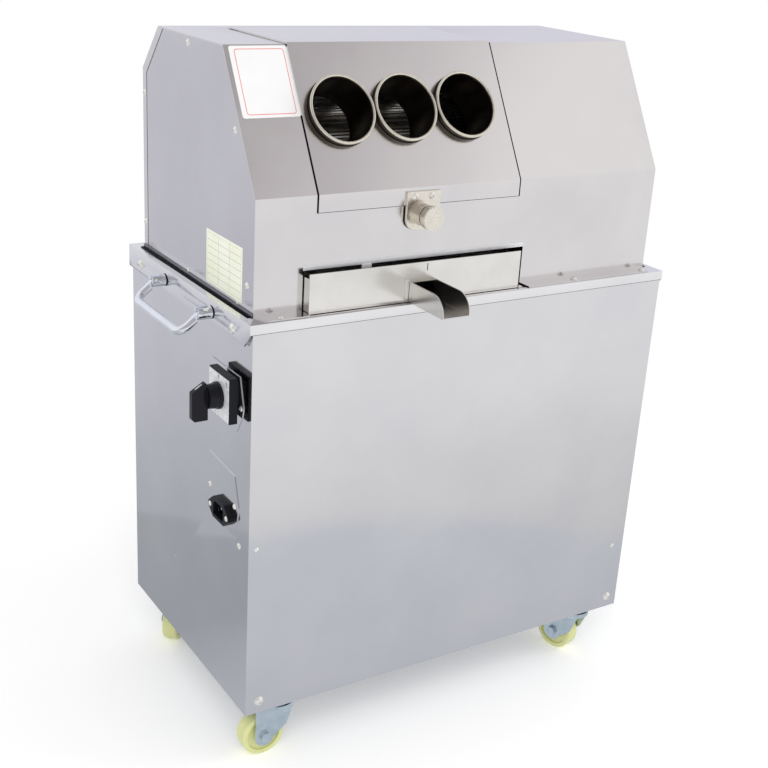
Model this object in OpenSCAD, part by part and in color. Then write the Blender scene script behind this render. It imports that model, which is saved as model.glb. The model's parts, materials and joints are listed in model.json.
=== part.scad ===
// Electric sugarcane juicer: a sheet steel cabinet on swivel casters, with a hood over a
// three roller mill. Cane goes in through the tubes of the hinged lid, juice runs into the
// drawer with the spout, and the pressed cane leaves by the chute at the back.
// Lengths are in millimetres. X runs to the right, Y to the back and Z up.

/* [Cabinet] */
// Width of the cabinet over the deck skirts
cab_w = 530; // [480:1:640]
// Depth of the cabinet over the deck skirts
cab_d = 315; // [300:1:400]
// Height of the cabinet from its floor to the top of the deck
cab_h = 444; // [420:1:600]
// Thickness of the folded sheet
sheet = 1.5; // [1:0.1:2]
// Height of the deck's side and rear skirts
skirt_h = 25; // [22:1:40]
// Height of the deck's front lip
lip_h = 10; // [6:0.5:16]
// Step from the skirts in to the side and rear panels
panel_step = 3; // [2.6:0.1:5]
// Joint between the deck lip and the front panel
seam = 0.4; // [0.2:0.1:1]
// Height of the turned up edges of the base pan
pan_edge_h = 18; // [12:1:30]
// Leg of the corner posts
post_leg = 17; // [12:1:20]
// Thickness of the corner posts
post_t = 2; // [1.5:0.1:3]
// Diagonal relief at the front end of the side skirts
relief = 13; // [6:1:20]

/* [Hood] */
// Gap between the cabinet side and the hood side
hood_inset = 13; // [8:1:20]
// Distance of the hood front wall from the cabinet front
hood_front = 20.5; // [19:0.5:30]
// Distance of the hood back wall from the cabinet back
hood_back = 15.4; // [8:0.2:24]
// Height of the hood
hood_h = 248; // [240:1:300]
// Height of the upright front wall
hood_wall_h = 116; // [108:1:130]
// Length of the slope that carries the feed tubes
slope_len = 152.4; // [140:0.2:165]
// Angle of the slope from level
slope_angle = 60; // [56:1:64]
// Height of the rear chamfer
chamfer_h = 48; // [30:1:60]
// Depth of the rear chamfer
chamfer_d = 44; // [30:1:60]
// Width of the outward flange at the foot of the front wall
flange_w = 18; // [12:0.5:18.5]
// Width of the rear cover's folded side edges
cover_edge = 10; // [8:0.5:16]
// Slit between the rear cover's edge and the side panel
slit = 1.6; // [0.8:0.1:3]
// Width of the hood's folded inner edges
hood_band = 17.5; // [13:0.5:20]

/* [Lid] */
// Distance of the lid's side edges inside the mill's side plates
lid_side = 16; // [12:1:22]
// Gap at the lid's left edge
lid_gap_left = 1; // [0.6:0.1:3]
// Gap at the lid's right edge
lid_gap_right = 3; // [0.6:0.1:4]
// Height of the lid's outer face above the hood
lid_proud = 2; // [1.9:0.1:3]
// Length of the lip on the front wall
lip_down = 17; // [12:1:24]
// Depth of the lid's turned down side edges
lid_edge = 9; // [5:0.5:11]
// Distance of the hinge line from the fold of the rear chamfer
hinge_rear = 29.9; // [26:0.1:50]
// Radius of the hinge knuckles
knuckle_r = 2; // [1.8:0.1:2.4]
// Radius of the hinge pin
hinge_pin_r = 1.1; // [0.8:0.1:1.2]
// Largest opening of the lid in degrees
lid_open = 100; // [80:1:105]

/* [Feed tubes] */
// Number of feed tubes
tube_n = 3; // [1:1:3]
// Distance of the last tube from the lid's right edge
tube_last = 53.8; // [42:0.2:58]
// Distance of the first tube from the lid's left edge
tube_first = 41.6; // [38:0.2:46]
// Space between neighbouring rims
rim_space = 1.3; // [0.6:0.1:6]
// Wall of a tube
tube_wall = 2; // [1.5:0.1:2.2]
// Height of the rim above the hood
rim_h = 12; // [8:0.5:16]
// Radius of the rolled rim's bead
bead_r = 1.5; // [1.2:0.1:1.6]
// Length of a tube inside the lid
tube_in = 40; // [20:1:44]
// Distance of the tubes up the slope
tube_up = 81; // [76:0.5:84]

/* [Latch] */
// Width and height of the hasp plate
hasp = 40; // [36:1:48]
// Thickness of the hasp plate
hasp_t = 3; // [2:0.5:4]
// Overlap of the hasp plate on the lid's lip
hasp_up = 14; // [12:0.5:15]
// Distance of the hasp from the lid's left edge
hasp_left = 99.5; // [80:0.5:120]
// Radius of the knurled ferrule
ferrule_r = 11.5; // [11:0.5:13]
// Length of the ferrule
ferrule_l = 9; // [9:0.5:13]
// Radius of the knob's cap
cap_r = 12.5; // [11:0.5:15]
// Thickness of the knob's cap
cap_t = 6.5; // [6:0.5:12]
// Groove left between the cap and the ferrule when backed off
cap_gap = 4.5; // [4.5:0.1:7]
// Radius of the screw
stud_r = 4; // [3:0.5:4]
// Pitch of the screw
stud_pitch = 1.25; // [1:0.05:1.5]
// Turns that close the latch
stud_turns = 3; // [2:1:3]
// Running clearance of turning pieces
run_fit = 0.05; // [0.02:0.01:0.1]

/* [Juice tray] */
// Distance of the tray opening's sides inside the mill's side plates
port_side = 2; // [1:0.5:8]
// Height of the tray opening
port_h = 42; // [36:1:46]
// Gap between the tray and the left edge of its opening
tray_gap_left = 1; // [1:0.5:6]
// Gap between the tray and the right edge of its opening
tray_gap_right = 11.5; // [1:0.5:14]
// Gap between the tray walls and the top of its opening
tray_gap_top = 5.5; // [5:0.5:8]
// Height of the tray's front plate, which stands before the opening
tray_face_h = 41; // [36:0.5:41.5]
// Distance that the tray face stands before the outside of the front wall
tray_set = 12.5; // [2:0.5:14]
// Length of the tray from front to back
tray_l = 216; // [150:1:225]
// Wall of the tray
tray_t = 1.2; // [0.8:0.1:2]
// Length of the spout
spout_l = 64; // [50:1:100]
// Distance of the spout to the right of the tray's middle
spout_off = 3.5; // [-20:0.5:20]
// Width of the spout
spout_w = 33; // [24:1:50]
// Height of the spout walls
spout_h = 22; // [16:1:28]
// Rounding of the spout's front ends
spout_round = 20; // [8:1:21]
// Travel of the tray when pulled out
tray_travel = 190; // [120:1:195]
// Clearance under sliding and seated pieces
seat_gap = 0.3; // [0.1:0.05:0.5]

/* [Mill] */
// Distance of the mill from the hood's left side
mill_left = 37; // [36:0.5:40]
// Thickness of the side plates
plate_t = 14; // [10:1:16]
// Room for the gearbox and the motor beside the mill
drive_bay = 165; // [160:1:200]
// Play between the rollers and the side plates
roller_play = 1.5; // [0.5:0.1:3]
// Distance between the roller axes
roller_c = 75; // [74.6:0.1:76]
// Radius of the top roller
top_r = 36.5; // [34:0.1:36.6]
// Radius of the feed roller
feed_r = 36; // [33:0.1:36.5]
// Radius of the discharge roller
out_r = 37.5; // [34:0.1:37.6]
// Direction from the top roller to the feed roller
feed_dir = 240; // [236:1:242]
// Direction from the top roller to the discharge roller
out_dir = 315; // [312:1:318]
// Distance of the top roller's axis behind the hood front
mill_y = 141.3; // [139:0.1:146]
// Height of the top roller's axis above the deck
mill_z = 170.5; // [168:0.5:176]
// Number of flutes of a roller
flute_n = 44; // [24:1:60]
// Depth of the flutes
flute_d = 2.2; // [1:0.1:3]
// Radius of the roller shafts
shaft_r = 12.5; // [9:0.5:13]
// Wall of the bronze bushes
bush_wall = 3.5; // [2.5:0.5:5]
// Radius of the tie bars
tie_r = 7; // [5:0.5:8]
// Module of the pinions
gear_m = 5; // [5:0.01:5.06]
// Width of the pinions
gear_w = 20; // [12:1:22]
// Backlash of the pinions
backlash = 0.5; // [0.3:0.05:0.8]
// Height of the pinion teeth over the pitch circle in modules
tooth_up = 0.8; // [0.6:0.05:0.9]
// Thickness of the trash plate's web
web_t = 8; // [4:1:9]

/* [Chute] */
// Reach of the chute behind the cabinet
chute_out = 30; // [10:1:60]
// Angle of the chute from level
chute_angle = 35; // [30:1:38]
// Height of the chute's sides
chute_side = 24; // [14:1:26]
// Height of the chute's upper edge over the discharge roller's axis
chute_up = 12; // [6:1:16]
// Height of the opening in the rear cover
outlet_h = 92; // [70:1:98]
// Width of the flanges that hold the chute on the rear cover
chute_flange = 16; // [12:1:20]

/* [Drive] */
// Radius of the motor
motor_r = 70; // [50:1:72]
// Length of the motor
motor_l = 250; // [180:5:300]
// Distance of the motor's axis from the hood's right side
motor_side = 91; // [84:1:100]
// Distance of the motor's axis from the rear panel's inside
motor_rear = 88.7; // [78:0.1:96]
// Radius of the drive hole in the deck
drive_hole_r = 38; // [32:1:40]
// Radius of the shaft coupling
coupling_r = 25; // [20:1:28]

/* [Switch and inlet] */
// Distance of the switch centre from the cabinet front
switch_y = 42.5; // [38:0.5:60]
// Height of the switch centre
switch_z = 360; // [330:1:370]
// Width of the switch's square front
switch_w = 48; // [40:1:52]
// Depth of the switch in front of its plate
switch_d = 14; // [8:0.5:18]
// Depth of the narrower neck behind the square front
switch_neck = 5; // [3:0.5:7]
// Radius of the knob
knob_r = 14; // [12:0.5:17]
// Length of the knob from the dial
knob_l = 29.5; // [26:0.1:42]
// Length of the knob's lever grip
lever_l = 40; // [34:1:50]
// Width of the knob's lever grip
lever_w = 7; // [5:0.5:12]
// Thickness of the thin plates under the switch and the inlet
thin_t = 0.8; // [0.5:0.1:1.2]
// Distance of the inlet centre from the cabinet front
inlet_y = 60; // [56:1:80]
// Height of the inlet centre
inlet_z = 221; // [180:1:260]
// Distance between the inlet's screws
inlet_screws = 40; // [38:0.5:42]
// Depth of the inlet's cavity
inlet_deep = 16; // [12:0.5:20]

/* [Handles] */
// Distance of the front handle post from the cabinet front
post_y = 89.1; // [70:0.5:110]
// Distance between the two posts of a handle
post_c = 120.6; // [90:0.5:160]
// Distance of the posts below the top of the deck
post_down = 13; // [9:0.5:14]
// Radius of the posts
post_r = 6.75; // [5:0.25:8]
// Length of the posts
post_l = 16; // [14:0.5:24]
// Radius of the bail
bail_r = 4.5; // [3:0.25:5]
// Length of the bail's arms from the pin
arm_l = 30; // [24:1:50]
// Angle of the bail from straight down as photographed
bail_angle = 52; // [0:1:90]
// Width of the slot in the posts
slot_w = 5.4; // [4:0.1:6]
// Radius of the handle pins
pin_r = 2; // [1.5:0.1:2.5]
// Radius of the bend at the bail's corners
bail_bend = 12; // [8:1:20]

/* [Casters] */
// Height of the casters
caster_h = 68; // [66:1:90]
// Radius of the wheels
wheel_r = 25; // [20:0.5:25]
// Width of the wheels
wheel_w = 18; // [14:0.5:20]
// Distance of the swivel axes from the cabinet sides
caster_x = 52; // [40:1:80]
// Distance of the swivel axes from the cabinet front and back
caster_y = 23; // [22:1:50]
// Trail of the wheels behind the swivel axes
trail = 19; // [14:1:24]
// Thickness of the caster plates
caster_t = 2.5; // [2:0.1:4]
// Thickness of the forks
fork_t = 2.2; // [1.5:0.1:3]
// Radius of the caster axles
axle_r = 4; // [3:0.5:5]
// Gap between a wheel hub and its fork
hub_gap = 0.5; // [0.3:0.1:1]

/* [Screws] */
// Radius of the hood screw heads
head_r = 4; // [3:0.25:5]
// Height of the hood screw heads
head_h = 2.2; // [1.5:0.1:3]
// Radius of the hood screw shanks
shank_r = 2; // [1.5:0.1:2.5]
// Length of the hood screw shanks
shank_l = 9; // [6:0.5:12]
// Radius of the large button heads
button_r = 5.5; // [4:0.25:7]
// Height of the large button heads
button_h = 3.2; // [2:0.1:4]
// Radius of the skirt screws' shanks
skirt_shank = 2.5; // [2:0.1:3]
// Radius of the small studs' shanks
stud_shank = 1.2; // [0.8:0.1:1.5]
// Radius of the thin plates' screw shanks
thin_shank = 1.5; // [1:0.1:2]
// Clearance of the screw holes around the shanks
screw_play = 0.1; // [0.05:0.05:0.3]

/* [Hidden] */
$fn = 48;
steel = [0.78, 0.79, 0.81];
brushed = [0.68, 0.69, 0.71];
chrome = [0.86, 0.87, 0.89];
warm_steel = [0.76, 0.73, 0.67];
cast_iron = [0.38, 0.42, 0.45];
bronze = [0.72, 0.55, 0.30];
cream = [0.93, 0.91, 0.84];
black = [0.09, 0.09, 0.10];
zinc = [0.62, 0.70, 0.76];
wheel_colour = [0.86, 0.88, 0.60];
big = 2000;

// Reach of the outermost pieces past the cabinet on each side
knob_play = 0.3;
dial_t = 0.8;
reach_left = thin_t + switch_d + dial_t + knob_play + knob_l - panel_step;
pin_out = post_l - post_r + 0.75;
reach_right = pin_out + arm_l * sin(bail_angle) + bail_r;
tray_y = hood_front - tray_set;
reach_front = spout_l - tray_y;
shift_x = -(cab_w + reach_right - reach_left) / 2;
shift_y = -(cab_d + chute_out - reach_front) / 2;

// Panel faces
side_x = panel_step + sheet;
rear_y = cab_d - panel_step - sheet;
pan_w = cab_w - 2 * side_x;
pan_d = rear_y - sheet;
deck_under = cab_h - sheet;
front_top = cab_h - lip_h - seam;

// Hood outline in the YZ plane, from the front foot over the top to the back foot
hood_x = hood_inset;
hood_w = cab_w - 2 * hood_inset;
hood_top = cab_h + hood_h;
fold_z = cab_h + hood_wall_h;
top_y = hood_front + slope_len * cos(slope_angle);
slope_rise = slope_len * sin(slope_angle);
back_y = cab_d - hood_back;
OUT = [[hood_front, cab_h], [hood_front, hood_top - slope_rise], [top_y, hood_top],
    [back_y - chamfer_d, hood_top], [back_y, hood_top - chamfer_h], [back_y, cab_h]];
slope_foot = OUT[1];

function unit(v) = v / norm(v);
function inward(v) = [v[1], -v[0]] / norm(v);
// Corner b of the outline a-b-c with its first side moved in by s and its second by t
function corner(a, b, c, s, t) =
    let (n = inward(b - a), m = inward(c - b), k = n * m)
    b + ((s - t * k) * n + (t - s * k) * m) / (1 - k * k);
function front_corner(s) = corner(OUT[0], OUT[1], OUT[2], s, s);
function top_corner(s) = corner(OUT[1], OUT[2], OUT[3], s, s);
function rear_corner(s, t) = corner(OUT[2], OUT[3], OUT[4], s, t);
function back_corner(t) = corner(OUT[3], OUT[4], OUT[5], t, t);
// Whole outline moved in by s at the front and top and by t at the rear
function ring(s, t) = [[hood_front + s, cab_h], front_corner(s), top_corner(s),
    rear_corner(s, t), back_corner(t), [back_y - t, cab_h]];

// Lid
plate_x = hood_x + mill_left;
inner_x = plate_x + plate_t;
mill_w = hood_w - mill_left - 2 * plate_t - drive_bay;
far_x = inner_x + mill_w;
lid_x = inner_x + lid_side;
lid_w = mill_w - 2 * lid_side;
lid_t = 1.5;
hinge_y = back_y - chamfer_d - hinge_rear;
hinge_z = hood_top;
lid_rear = hinge_y - knuckle_r - 0.3;
lip_z = OUT[1][1] - lip_down;
tube_x = lid_x + tube_first;
tube_pitch = (lid_w - tube_first - tube_last) / max(1, tube_n - 1);
tube_r = min(tube_pitch, 73.3) / 2 - rim_space / 2 - 2 * bead_r;
hasp_x = lid_x + hasp_left;
hasp_top = lip_z + hasp_up;
latch_x = hasp_x + hasp / 2;
latch_z = hasp_top - 24;
hasp_face = hood_front - lid_proud - hasp_t;
draw = stud_pitch * stud_turns;
clip_r = stud_r + 1.5;
clip_t = 0.7;
clip_gap = 0.25;
nut_start = hood_front - lid_proud + clip_gap + clip_t + draw + 0.35;
latch_hole = clip_r + 1.5;

// Tray
port_x = inner_x + port_side;
port_w = mill_w - 2 * port_side;
tray_x = port_x + tray_gap_left;
tray_w = port_w - tray_gap_left - tray_gap_right;
tray_h = port_h - tray_gap_top - seat_gap;
tray_z = cab_h + seat_gap;
spout_x = tray_x + (tray_w - spout_w) / 2 + spout_off;

// Mill
roller_x = inner_x + roller_play;
roller_w = mill_w - 2 * roller_play;
top_c = [hood_front + mill_y, cab_h + mill_z];
feed_c = top_c + roller_c * [cos(feed_dir), sin(feed_dir)];
out_c = top_c + roller_c * [cos(out_dir), sin(out_dir)];
bush_r = shaft_r + bush_wall;
bush_flange = 2;
gear_x = plate_x - bush_flange - 2 - gear_w;
gear_n = 15;
gear_phase = 0;
tie_points = [[top_c[0] - 84, cab_h + 74], [top_c[0] + 84, cab_h + 74],
    [top_c[0] + 3, top_c[1] + 55.5]];

// Chute, from its upper edge next to the discharge roller to its free end
chute_y = out_c[0] + out_r + 4;
chute_z = out_c[1] + chute_up;
chute_end = cab_d + chute_out;
chute_fall = tan(chute_angle);
outlet_z = chute_z - (back_y - chute_y) * chute_fall - 12;
chute_mid = chute_z - (back_y - chute_y) * chute_fall + 14;

// Drive
motor_x = hood_x + hood_w - motor_side;
motor_y = rear_y - motor_rear;
case_x = motor_x - 32;
case_w = 64;
shaft_end = case_x - 18;

// Casters: swivel axis and the direction in which each wheel trails
caster_at = [[caster_x, caster_y, 180], [cab_w - caster_x, caster_y, 105],
    [caster_x, cab_d - caster_y, 228], [cab_w - caster_x, cab_d - caster_y, 330]];
dish_floor = -10;
axle_z = wheel_r - caster_h;
hub_w = wheel_w + 2;
fork_in = hub_w / 2 + hub_gap;

module in_place() {
    translate([shift_x, shift_y, caster_h]) children();
}
// Extrudes a YZ profile along X from x by length l
module along_x(x, l) {
    translate([x, 0, 0]) rotate([90, 0, 90]) linear_extrude(height = l) children();
}
// Puts children of the left side on the right side too
module mirrored() {
    translate([cab_w, 0, 0]) mirror([1, 0, 0]) children();
}

// Screw with a domed head whose underside is at z = 0, drive recess included
module screw(hr, hh, sr, sl, recess = 1.2) {
    difference() {
        union() {
            translate([0, 0, -sl]) cylinder(r = sr, h = sl + 0.2);
            rotate_extrude() intersection() {
                translate([0, hh - (hr * hr + hh * hh) / (2 * hh)])
                    circle(r = (hr * hr + hh * hh) / (2 * hh), $fn = 64);
                square([hr, hh]);
            }
        }
        translate([0, 0, hh - recess]) cylinder(r = hr * 0.36, h = 5, $fn = 6);
    }
}

module base_pan() color(brushed) in_place() difference() {
    base_tray();
    foot_places() bore(shank_r, 6);
}
module base_tray() difference() {
    translate([side_x, sheet, 0]) cube([pan_w, pan_d, pan_edge_h]);
    translate([side_x + sheet, 2 * sheet, sheet])
        cube([pan_w - 2 * sheet, pan_d - 2 * sheet, pan_edge_h]);
    for (i = [0:7], j = [0:1])
        translate([cab_w / 2 - 108 + i * 28, cab_d / 2 - 62 + j * 76, -1]) cube([8, 48, 5]);
}

module corner_post() {
    translate([0, 0, sheet]) linear_extrude(height = deck_under - sheet)
        polygon([[0, 0], [post_leg, 0], [post_leg, post_t], [post_t, post_t],
            [post_t, post_leg], [0, post_leg]]);
}
module frame_posts() color(brushed) in_place() {
    x0 = side_x + sheet;
    y0 = 2 * sheet;
    y1 = rear_y - sheet;
    difference() {
        union() {
            translate([x0, y0, 0]) corner_post();
            translate([cab_w - x0, y0, 0]) mirror([1, 0, 0]) corner_post();
        }
        foot_places() bore(shank_r, 6);
    }
    translate([x0, y1, 0]) mirror([0, 1, 0]) corner_post();
    translate([cab_w - x0, y1, 0]) rotate([0, 0, 180]) corner_post();
}

module deck() color(steel) in_place() difference() {
    union() {
        translate([0, 0, deck_under]) cube([cab_w, cab_d, sheet]);
        translate([0, 0, cab_h - skirt_h]) cube([sheet, cab_d, skirt_h]);
        translate([cab_w - sheet, 0, cab_h - skirt_h]) cube([sheet, cab_d, skirt_h]);
        translate([0, cab_d - sheet, cab_h - skirt_h]) cube([cab_w, sheet, skirt_h]);
        translate([0, 0, cab_h - lip_h]) cube([cab_w, sheet, lip_h]);
    }
    along_x(-1, cab_w + 2) polygon([[-1, cab_h - skirt_h - 1], [relief, cab_h - skirt_h - 1],
        [relief, cab_h - skirt_h], [0, cab_h - lip_h], [-1, cab_h - lip_h]]);
    translate([motor_x, motor_y, 0]) cylinder(r = drive_hole_r, h = big);
    skirt_places() bore(skirt_shank, 6);
    flange_places() bore(shank_r, 9);
}

module front_panel() color(steel) in_place() difference() {
    union() {
        translate([panel_step, 0, 0]) cube([cab_w - 2 * panel_step, sheet, front_top]);
        translate([side_x + 30, 0, front_top - sheet]) cube([cab_w - 2 * side_x - 60, 12, sheet]);
    }
    foot_places() bore(shank_r, 6);
    stud_places() bore(stud_shank, 6);
}

module side_sheet() difference() {
    translate([panel_step, sheet, 0]) cube([sheet, cab_d - panel_step - sheet, deck_under]);
    skirt_places() bore(skirt_shank, 6);
}
module left_panel() color(steel) in_place() difference() {
    side_sheet();
    translate([-1, switch_y - switch_w * 0.38, switch_z - switch_w * 0.38])
        cube([20, switch_w * 0.76, switch_w * 0.76]);
    translate([-1, inlet_y - 14.5, inlet_z - 11]) cube([20, 29, 22]);
    translate([panel_step - 0.6, 191.7, 101]) sphere(r = 1.6, $fn = 24);
    thin_places() bore(thin_shank, 8);
    inlet_places() bore(thin_shank, 14);
    on_left(22.6, 196, panel_step) bore(shank_r, 8);
}
module right_panel() color(steel) in_place() mirrored() side_sheet();

// Pressed louvre: a slot under a quarter round hood
module louvre_hood(l) {
    intersection() {
        rotate([0, 90, 0]) difference() {
            cylinder(r = 7, h = l, center = true);
            cylinder(r = 6, h = l - 2, center = true);
        }
        translate([-l, 0, 0]) cube([2 * l, 10, 10]);
    }
}
louvre_l = 120;
louvre_rows = 9;
module louvre_places() {
    for (i = [0:louvre_rows - 1], x = [cab_w * 0.29, cab_w * 0.71])
        translate([x, rear_y + sheet, 110 + i * 26]) children();
}
module rear_panel() color(steel) in_place() {
    difference() {
        translate([side_x, rear_y, 0]) cube([pan_w, sheet, deck_under]);
        louvre_places() translate([-louvre_l / 2 + 1, -sheet - 1, 0]) cube([louvre_l - 2, 4, 5.5]);
        rear_places() bore(shank_r, 6);
    }
    louvre_places() louvre_hood(louvre_l);
}

module hood_shell() color(steel) in_place() {
    difference() {
        union() {
            along_x(hood_x, hood_w) polygon([OUT[0], OUT[1], OUT[2], OUT[3],
                rear_corner(sheet, sheet), top_corner(sheet), front_corner(sheet),
                [hood_front + sheet, cab_h]]);
            for (x = [hood_x + sheet, hood_x + hood_w - 2 * sheet])
                along_x(x, sheet) polygon([[hood_front + sheet, cab_h + 3],
                    front_corner(sheet), top_corner(sheet), [back_y - chamfer_d - 34, hood_top - sheet],
                    [back_y - chamfer_d - 34, hood_top - hood_band], top_corner(hood_band),
                    front_corner(hood_band), [hood_front + hood_band, cab_h + 3]]);
            translate([0, 0, cab_h]) linear_extrude(height = sheet)
                polygon([[hood_x, hood_front], [hood_x + 8, hood_front - flange_w],
                    [hood_x + hood_w - 8, hood_front - flange_w], [hood_x + hood_w, hood_front]]);
            // Weld nut for the latch screw
            translate([latch_x, 0, latch_z]) rotate([-90, 0, 0])
                translate([0, 0, hood_front + sheet]) cylinder(r = latch_hole + 3, h = nut_start
                    - hood_front - sheet + 6);
        }
        // Lid opening over the top, the slope and the front wall
        along_x(lid_x - lid_gap_left, lid_w + lid_gap_left + lid_gap_right)
            polygon([[hood_front - 1, lip_z - 1], [hood_front + 14, lip_z - 1], front_corner(14),
                top_corner(14), [hinge_y + knuckle_r + 0.3, hood_top - 14],
                [hinge_y + knuckle_r + 0.3, hood_top + 1], [top_y - 3, hood_top + 1],
                [hood_front - 1, slope_foot[1]]]);
        // Tray opening, through the flange as well
        translate([port_x, hood_front - flange_w - 1, cab_h - 1])
            cube([port_w, flange_w + 16, port_h + 1]);
        translate([latch_x, 0, latch_z]) rotate([-90, 0, 0]) {
            cylinder(r = latch_hole, h = nut_start);
            cylinder(r = stud_r + run_fit, h = nut_start + 20);
        }
        side_places() bore(shank_r, 6);
        mirrored() side_places() bore(shank_r, 6);
        flange_places() bore(shank_r, 9);
    }
}

module hood_side() difference() {
    hood_side_sheet();
    side_places() bore(shank_r, 6);
    rivet_places() bore(stud_shank, 6);
}
module hood_side_sheet() {
    along_x(hood_x, sheet) polygon(ring(sheet, cover_edge + slit));
    along_x(hood_x + sheet, sheet) difference() {
        polygon(ring(sheet, sheet + 0.2));
        polygon(concat([[0, cab_h - 1]], [[0, hood_top]], [[top_y, hood_top]],
            [rear_corner(0, cover_edge + slit + 9), back_corner(cover_edge + slit + 9)],
            [[back_y - cover_edge - slit - 9, cab_h - 1]]));
        square([big, cab_h + 2]);
    }
}
module hood_left_panel() color(steel) in_place() hood_side();
module hood_right_panel() color(steel) in_place() mirrored() hood_side();

module hood_rear_cover() color(steel) in_place() difference() {
    union() {
        along_x(hood_x, hood_w) polygon([OUT[3], OUT[4], OUT[5], [back_y - sheet, cab_h],
            back_corner(sheet), rear_corner(sheet, sheet)]);
        for (x = [hood_x, hood_x + hood_w - sheet])
            along_x(x, sheet) polygon([rear_corner(sheet, 0), OUT[4], OUT[5],
                [back_y - cover_edge, cab_h], back_corner(cover_edge),
                rear_corner(sheet, cover_edge)]);
    }
    translate([inner_x - 4, back_y - 8, outlet_z]) cube([mill_w + 8, 20, outlet_h]);
    side_places() bore(shank_r, 6);
    mirrored() side_places() bore(shank_r, 6);
    chute_places() bore(shank_r, 8);
}

// Side plate of the mill, a cast web that carries the three shafts
module mill_plate(x) {
    difference() {
        along_x(x, plate_t) polygon([[top_c[0] - 96, cab_h], [top_c[0] + 100, cab_h],
            [top_c[0] + 100, cab_h + 88], [top_c[0] + 86, out_c[1] + 14],
            [top_c[0] + 24, top_c[1] + 66], [top_c[0] - 20, top_c[1] + 66],
            [top_c[0] - 46, top_c[1] + 30], [feed_c[0] - 48, feed_c[1] + 16],
            [top_c[0] - 96, cab_h + 88]]);
        for (c = [top_c, feed_c, out_c])
            translate([x - 1, c[0], c[1]]) rotate([0, 90, 0]) cylinder(r = bush_r, h = plate_t + 2);
    }
}
module mill_plate_left() color(cast_iron) in_place() mill_plate(plate_x);
module mill_plate_right() color(cast_iron) in_place() mill_plate(far_x);

module mill_tie_bars() color(brushed) in_place() {
    for (p = tie_points) translate([inner_x, p[0], p[1]]) rotate([0, 90, 0])
        cylinder(r = tie_r, h = mill_w);
}

module bush(x, c, side) {
    translate([x, c[0], c[1]]) rotate([0, 90, 0]) difference() {
        union() {
            cylinder(r = bush_r, h = plate_t);
            translate([0, 0, side < 0 ? -bush_flange : plate_t])
                cylinder(r = bush_r + 4, h = bush_flange);
        }
        translate([0, 0, -20]) cylinder(r = shaft_r + run_fit, h = 60);
    }
}
module roller_bushes() color(bronze) in_place() {
    for (c = [top_c, feed_c, out_c]) {
        bush(plate_x, c, -1);
        bush(far_x, c, 1);
    }
}

function arc_points(r, a, b, n) = [for (i = [0:n]) top_c + r * [cos(a + (b - a) * i / n),
    sin(a + (b - a) * i / n)]];
module trash_plate() color(warm_steel) in_place() {
    mid = 7;
    foot = cab_h + 58;
    half = web_t / 2;
    under = top_r + 13;
    along_x(inner_x, mill_w) polygon(concat(
        [[top_c[0] + mid - 8, foot], [top_c[0] + mid - 8, foot + 8],
            [top_c[0] + mid - half, foot + 8],
            top_c + [mid - half, -sqrt(under * under - (mid - half) * (mid - half))]],
        arc_points(under, 271, 268, 3), arc_points(top_r + 5, 260, 290, 10),
        arc_points(under, 286, 284.5, 1),
        [top_c + [mid + half, -sqrt(under * under - (mid + half) * (mid + half))],
            [top_c[0] + mid + half, foot + 8], [top_c[0] + mid + 8, foot + 8],
            [top_c[0] + mid + 8, foot]]));
}

// Cross section of a fluted roller, each flute a V with flat tips
function flute_points(r) = [for (i = [0:flute_n - 1], k = [0:3])
    let (a = 360 / flute_n * (i + [0, 0.34, 0.6, 0.74][k]), d = [0, 0, flute_d, flute_d][k])
    (r - d) * [cos(a), sin(a)]];
module roller(c, r, x0, x1) {
    translate([roller_x, c[0], c[1]]) rotate([90, 0, 90]) linear_extrude(height = roller_w)
        polygon(flute_points(r));
    translate([x0, c[0], c[1]]) rotate([0, 90, 0]) cylinder(r = shaft_r, h = roller_x - x0 + 1);
    translate([roller_x + roller_w - 1, c[0], c[1]]) rotate([0, 90, 0])
        cylinder(r = shaft_r, h = x1 - roller_x - roller_w + 1);
}
short_end = far_x + plate_t + bush_flange + 6;
module top_roller() color(warm_steel) in_place()
    roller(top_c, top_r, gear_x, shaft_end);
module feed_roller() color(warm_steel) in_place() roller(feed_c, feed_r, gear_x, short_end);
module discharge_roller() color(warm_steel) in_place() roller(out_c, out_r, gear_x, short_end);

// Involute pinion cut for the roller distance
gear_r = roller_c / 2;
base_r = gear_r * cos(20);
tip_r = gear_r + tooth_up * roller_c / gear_n;
root_r = gear_r - roller_c / gear_n;
function roll(r) = r <= base_r ? 0 : sqrt(r * r / (base_r * base_r) - 1);
function inv_at(r) = roll(r) * 180 / PI - atan(roll(r));
half_tooth = 90 / gear_n - backlash / gear_r * 90 / PI / 2;
function flank(r) = half_tooth + inv_at(gear_r) - inv_at(r);
flank_r = [for (i = [0:4]) base_r + (tip_r - base_r) * i / 4];
function gear_points(phase) = [for (k = [0:gear_n - 1])
    let (a = phase + k * 360 / gear_n, left = [for (r = flank_r) r * [cos(a - flank(r)), sin(a - flank(r))]],
        right = [for (i = [4:-1:0]) let (r = flank_r[i]) r * [cos(a + flank(r)), sin(a + flank(r))]])
    each concat([root_r * [cos(a - flank(base_r) - 0.6), sin(a - flank(base_r) - 0.6)]], left, right,
        [root_r * [cos(a + flank(base_r) + 0.6), sin(a + flank(base_r) + 0.6)]])];
module gear(c, phase) {
    difference() {
        translate([gear_x, c[0], c[1]]) rotate([90, 0, 90]) linear_extrude(height = gear_w)
            polygon(gear_points(phase));
        translate([gear_x - 1, c[0], c[1]]) rotate([0, 90, 0])
            cylinder(r = shaft_r, h = gear_w + 2);
    }
}
function mate(dir) = 2 * dir - gear_phase + 180 + 180 / gear_n;
module top_gear() color(cast_iron) in_place() gear(top_c, gear_phase);
module feed_gear() color(cast_iron) in_place() gear(feed_c, mate(feed_dir));
module discharge_gear() color(cast_iron) in_place() gear(out_c, mate(out_dir));

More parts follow.
